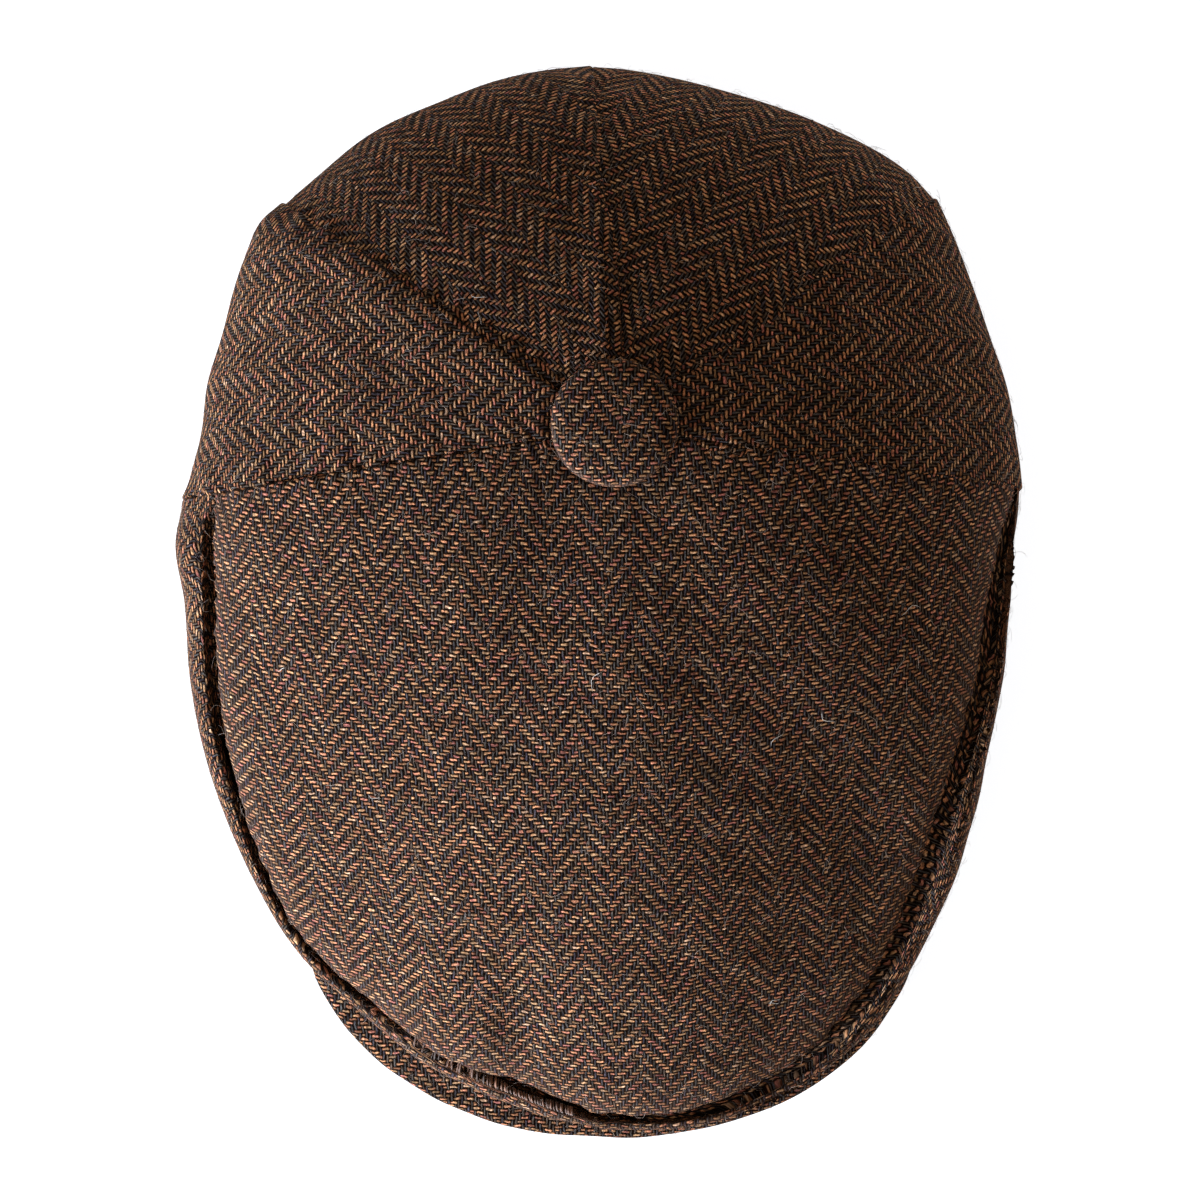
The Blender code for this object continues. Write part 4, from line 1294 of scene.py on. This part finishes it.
def ramp(value, stops):
    """Look a colour up in (place, colour) stops."""
    node = value.tree.nodes.new("ShaderNodeValToRGB")
    points = node.color_ramp.elements
    while len(points) < len(stops):
        points.new(0.5)
    for point, (place, colour) in zip(points, stops):
        point.position = place
        point.color = (*colour, 1.0)
    value.join(node.inputs[0])
    return Wire(value.tree, node.outputs[0])


# Colours of the yarns, from one end of their heather to the other
WEFT_WOOL = (
    (0.28, (0.350, 0.130, 0.110)),
    (0.38, (0.440, 0.180, 0.110)),
    (0.50, (0.490, 0.230, 0.115)),
    (0.60, (0.400, 0.235, 0.120)),
    (0.74, (0.560, 0.350, 0.230)),
)
WARP_WOOL = (
    (0.35, (0.048, 0.042, 0.056)),
    (0.50, (0.064, 0.064, 0.062)),
    (0.65, (0.096, 0.070, 0.054)),
)
# Painted shade: the warm near-black that is added to the low places between the yarns
PAINTED_GAP_SHADE = (0.0030, 0.0008, 0.0004)
NAP_WOOL = (0.175, 0.105, 0.080)

# Two layers of fine hairs on the tweed: how close they lie, how much they twist, how thin they are, how
# strongly they show, and their colour
HAIRS = (
    (0.55, 2.5, 70.0, 0.25, (0.22, 0.14, 0.10)),
    (1.30, 1.5, 40.0, 0.09, (0.20, 0.10, 0.065)),
)
WEAVE_RELIEF = 0.00042
TWEED_SHEEN = 0.015
RIBBON_RELIEF = 0.0002


def make_weave():
    """Node group of the tweed. Threads counts ends and picks. Each yarn rises and dips as a sine along
    itself and is round across; the higher of the two shows. The twill's slope turns over at each rib
    and breaks there, which makes the herringbone."""
    tree = bpy.data.node_groups.new("herringbone_tweed", "ShaderNodeTree")
    tree.interface.new_socket("Threads", in_out="INPUT", socket_type="NodeSocketVector")
    tree.interface.new_socket("Nap", in_out="INPUT", socket_type="NodeSocketFloat")
    tree.interface.new_socket("Colour", in_out="OUTPUT", socket_type="NodeSocketColor")
    tree.interface.new_socket("Height", in_out="OUTPUT", socket_type="NodeSocketFloat")
    given = tree.nodes.new("NodeGroupInput")
    put_out = tree.nodes.new("NodeGroupOutput")

    straight = Wire(tree, given.outputs["Threads"])
    threads = straight
    for scale, reach in ((0.06, 2.2), (0.45, 0.9)):
        wander = tree.nodes.new("ShaderNodeVectorMath")
        wander.operation = "MULTIPLY_ADD"
        cloud(threads, scale, output="Color").join(wander.inputs[0])
        wander.inputs[1].default_value = (reach, reach, 0.0)
        threads.join(wander.inputs[2])
        threads = Wire(tree, wander.outputs[0])
    counts = tree.nodes.new("ShaderNodeSeparateXYZ")
    threads.join(counts.inputs[0])
    end, pick = Wire(tree, counts.outputs[0]), Wire(tree, counts.outputs[1])

    rib = (end * (1.0 / RIB_ENDS)).floor()
    lean = (rib % 2.0) * -2.0 + 1.0
    whole_end, whole_pick = end.floor(), pick.floor()
    weft_phase = lean * end + whole_pick + rib * 2.0
    warp_phase = lean * (whole_end + 0.5) + pick + rib * 2.0 - 0.5

    def yarn(phase, thread, along, whole, turn, lift, width, plump, seed):
        """How high a yarn lies, how bright it is painted, and its place in its heather. It rises and
        dips along itself, it is round across over its width, and each float has its own luck. Its brightness
        is each float's own tone times a painted highlight along its fibre streaks and its round middle, with
        painted shade towards its edges."""
        height = ((phase * turn).math("SINE") + lift) * 1.6
        luck = chance(bundle((phase * 0.25).floor(), whole, seed))
        slub = cloud(bundle(along * 0.5, whole * 3.7, seed)) * 0.9 + 0.55
        off = (thread.math("FRACT") - 0.5) * (2.0 / width) * slub
        across = (off * off * -1.0 + 1.0).clip().math("SQRT")
        height = height.clip(-1.0, 1.0) * 0.5 + across * plump
        streak = cloud(bundle(along * 1.2, thread * 3.4, seed + 2.0), 1.0, 1.0)
        # Painted highlight and shade: brighter along the fibre streaks and the yarn's round middle, darker to
        # its edges, times each float's own tone
        tone_and_painted_highlight = streak.rise(0.26, 0.76).math("POWER", 1.6) * 1.9 + 0.30
        tone_and_painted_highlight = tone_and_painted_highlight * (luck[0] * 1.0 + 0.5) * across
        heather = cloud(bundle(along * 0.3, whole * 1.9, seed + 4.0)) + (luck[1] - 0.5) * 0.24
        return height, tone_and_painted_highlight, heather, streak

    weft_height, weft_tone_and_painted_highlight, weft_heather, weft_streak = yarn(
        weft_phase, pick, end, whole_pick, turn=np.pi / 2, lift=0.20, width=0.68, plump=0.74, seed=3.0)
    warp_height, warp_tone_and_painted_highlight, warp_heather, warp_streak = yarn(
        warp_phase, end, pick, whole_end, turn=-np.pi / 2, lift=0.20, width=0.62, plump=0.70, seed=9.0)
    weft_on_top = ((weft_height - warp_height) * 5.0 + 0.5).clip()
    height = weft_height.math("MAXIMUM", warp_height)
    weft_colour = dim(ramp(weft_heather, WEFT_WOOL), weft_tone_and_painted_highlight)
    warp_colour = dim(ramp(warp_heather, WARP_WOOL), warp_tone_and_painted_highlight)
    # Painted shade: the colour darkens with the square of how low the yarns lie, down to a warm near-black in
    # the gaps between them
    depth = height.rise(0.40, 1.12)
    colour = dim(mix(weft_on_top, warp_colour, weft_colour), depth * depth)
    colour = mix(depth * -1.0 + 1.0, colour, PAINTED_GAP_SHADE, "ADD")

    for scale, twist, thin, strength, wool in HAIRS:
        hair = (cloud(straight, scale, 1.0, twist) - 0.5).math("ABSOLUTE")
        colour = mix((hair * -thin + 1.0).clip() * strength, colour, wool)
    # On the button the Nap attribute also carries the rim's painted highlight, which this haze paints in pale
    # wool
    haze = Wire(tree, given.outputs["Nap"]) * (weft_streak.rise(0.30, 0.70) * 0.9 + 0.1)
    colour = mix(haze, colour, NAP_WOOL)
    colour.join(put_out.inputs["Colour"])
    (height + (weft_streak + warp_streak - 1.0) * 0.25).join(put_out.inputs["Height"])
    return tree


def new_material(name, roughness, sheen=0.0):
    """A material with its node tree and its shader, which has one roughness and one sheen all over."""
    material = bpy.data.materials.new(name)
    material.use_nodes = True
    shader = material.node_tree.nodes["Principled BSDF"]
    shader.inputs["Roughness"].default_value = roughness
    shader.inputs["Sheen Weight"].default_value = sheen
    return material, material.node_tree, shader


def make_tweed(name, weave):
    """Material of one tweed piece: the weave on the piece's own thread counts, matt, with a wool sheen."""
    material, tree, shader = new_material(name, 0.92, TWEED_SHEEN)
    shader.inputs["Specular IOR Level"].default_value = 0.02
    shader.inputs["Sheen Roughness"].default_value = 0.45
    shader.inputs["Sheen Tint"].default_value = (0.95, 0.72, 0.58, 1.0)
    counts = tree.nodes.new("ShaderNodeUVMap")
    counts.uv_map = "threads"
    nap = tree.nodes.new("ShaderNodeAttribute")
    nap.attribute_name = "nap"
    cloth = tree.nodes.new("ShaderNodeGroup")
    cloth.node_tree = weave
    bump = tree.nodes.new("ShaderNodeBump")
    bump.inputs["Distance"].default_value = WEAVE_RELIEF
    tree.links.new(counts.outputs["UV"], cloth.inputs["Threads"])
    tree.links.new(nap.outputs["Fac"], cloth.inputs["Nap"])
    tree.links.new(cloth.outputs["Colour"], shader.inputs["Base Color"])
    tree.links.new(cloth.outputs["Height"], bump.inputs["Height"])
    tree.links.new(bump.outputs["Normal"], shader.inputs["Normal"])
    return material


def make_band_cloth():
    """Material of the head band: a plain dark ribbon with fine upright ribs."""
    material, tree, shader = new_material("band_cloth", 0.75, 0.15)
    counts = tree.nodes.new("ShaderNodeUVMap")
    counts.uv_map = "threads"
    where = tree.nodes.new("ShaderNodeSeparateXYZ")
    tree.links.new(counts.outputs["UV"], where.inputs[0])
    around, up = Wire(tree, where.outputs[0]), Wire(tree, where.outputs[1])
    yarn = cloud(bundle(around.floor(), up * 2.0))
    colour = ramp(yarn, ((0.3, (0.020, 0.013, 0.010)), (0.7, (0.070, 0.046, 0.036))))
    colour.join(shader.inputs["Base Color"])
    bump = tree.nodes.new("ShaderNodeBump")
    bump.inputs["Distance"].default_value = RIBBON_RELIEF
    (around * (2 * np.pi)).math("SINE").join(bump.inputs["Height"])
    tree.links.new(bump.outputs["Normal"], shader.inputs["Normal"])
    return material


def make_fibre_wool(name, dark, pale):
    """Material of loose fibres, from dark to pale wool by each fibre's own shade."""
    material, tree, shader = new_material(name, 0.6, 0.3)
    shade = tree.nodes.new("ShaderNodeAttribute")
    shade.attribute_name = "shade"
    mix(Wire(tree, shade.outputs["Fac"]), dark, pale).join(shader.inputs["Base Color"])
    return material


# The stage
FLOOR_GLOW = 0.83            # light that the floor itself gives, so that it shows white
ROOM_LIGHT = 0.34
KEY_PLACE = (-1.30, -0.96, 0.34)
KEY_POWER = 59
EYE_PLACE = (0.0, 0.00143, 2.045)
SENSOR_WIDTH = 36.0
VIEW_WIDTH = 0.31848         # width of the frame at VIEW_DISTANCE from the camera
VIEW_DISTANCE = 2.0


def add_stage():
    """Pale floor, soft light from the left and front, and the camera straight above."""
    bpy.ops.mesh.primitive_plane_add(size=6.0, location=(0, 0, 0))
    floor = bpy.context.object
    floor.name = "floor"
    paint, _, shader = new_material("pale_floor", 1.0)
    shader.inputs["Base Color"].default_value = (0.9, 0.9, 0.9, 1.0)
    shader.inputs["Emission Color"].default_value = (0.94, 1.0, 1.06, 1.0)
    shader.inputs["Emission Strength"].default_value = FLOOR_GLOW
    floor.data.materials.append(paint)

    world = bpy.data.worlds.new("studio")
    world.use_nodes = True
    world.node_tree.nodes["Background"].inputs["Color"].default_value = (1.0, 0.80, 0.62, 1.0)
    world.node_tree.nodes["Background"].inputs["Strength"].default_value = ROOM_LIGHT
    bpy.context.scene.world = world

    key = bpy.data.lights.new("key", "AREA")
    key.energy = KEY_POWER
    key.size = 0.6
    key.color = (0.92, 1.0, 1.12)
    lamp = bpy.data.objects.new("key", key)
    lamp.location = KEY_PLACE
    lamp.rotation_mode = "QUATERNION"
    lamp.rotation_quaternion = lamp.location.to_track_quat("Z", "Y")
    bpy.context.scene.collection.objects.link(lamp)

    camera = bpy.data.cameras.new("camera")
    camera.sensor_width = SENSOR_WIDTH
    camera.lens = SENSOR_WIDTH * VIEW_DISTANCE / VIEW_WIDTH
    camera.clip_start = 0.1
    camera.clip_end = 20.0
    eye = bpy.data.objects.new("camera", camera)
    eye.location = EYE_PLACE
    bpy.context.scene.collection.objects.link(eye)
    bpy.context.scene.camera = eye


def main():
    """Set up the stage, and put the cap's pieces on it, each with its own cloth."""
    add_stage()
    weave = make_weave()
    crown, strip, peak, button = (
        make_tweed(name, weave) for name in ("crown_tweed", "strip_tweed", "peak_tweed", "button_tweed")
    )
    surfaces = [
        add_front_panel(crown),
        add_panel("side_panel_left", "side_left", crown),
        add_panel("side_panel_right", "side_right", crown),
        add_panel("back_panel_left", "back_left", crown),
        add_panel("back_panel_right", "back_right", crown),
        add_strip("side_strip_left", "strip_left", strip),
        add_strip("side_strip_right", "strip_right", strip),
        add_peak(peak),
        add_button(button),
    ]
    add_head_band(make_band_cloth())
    add_fuzz(surfaces, make_fibre_wool("nap_wool", (0.10, 0.055, 0.038), (0.50, 0.38, 0.30)))
    add_gap_threads(surfaces[5], make_fibre_wool("gap_wool", (0.040, 0.020, 0.014), (0.280, 0.130, 0.075)))
    add_stray_fibres(surfaces, make_fibre_wool("pale_wool", (0.30, 0.24, 0.20), (0.90, 0.87, 0.82)))


bpy.context.scene.view_settings.view_transform = "Standard"
main()
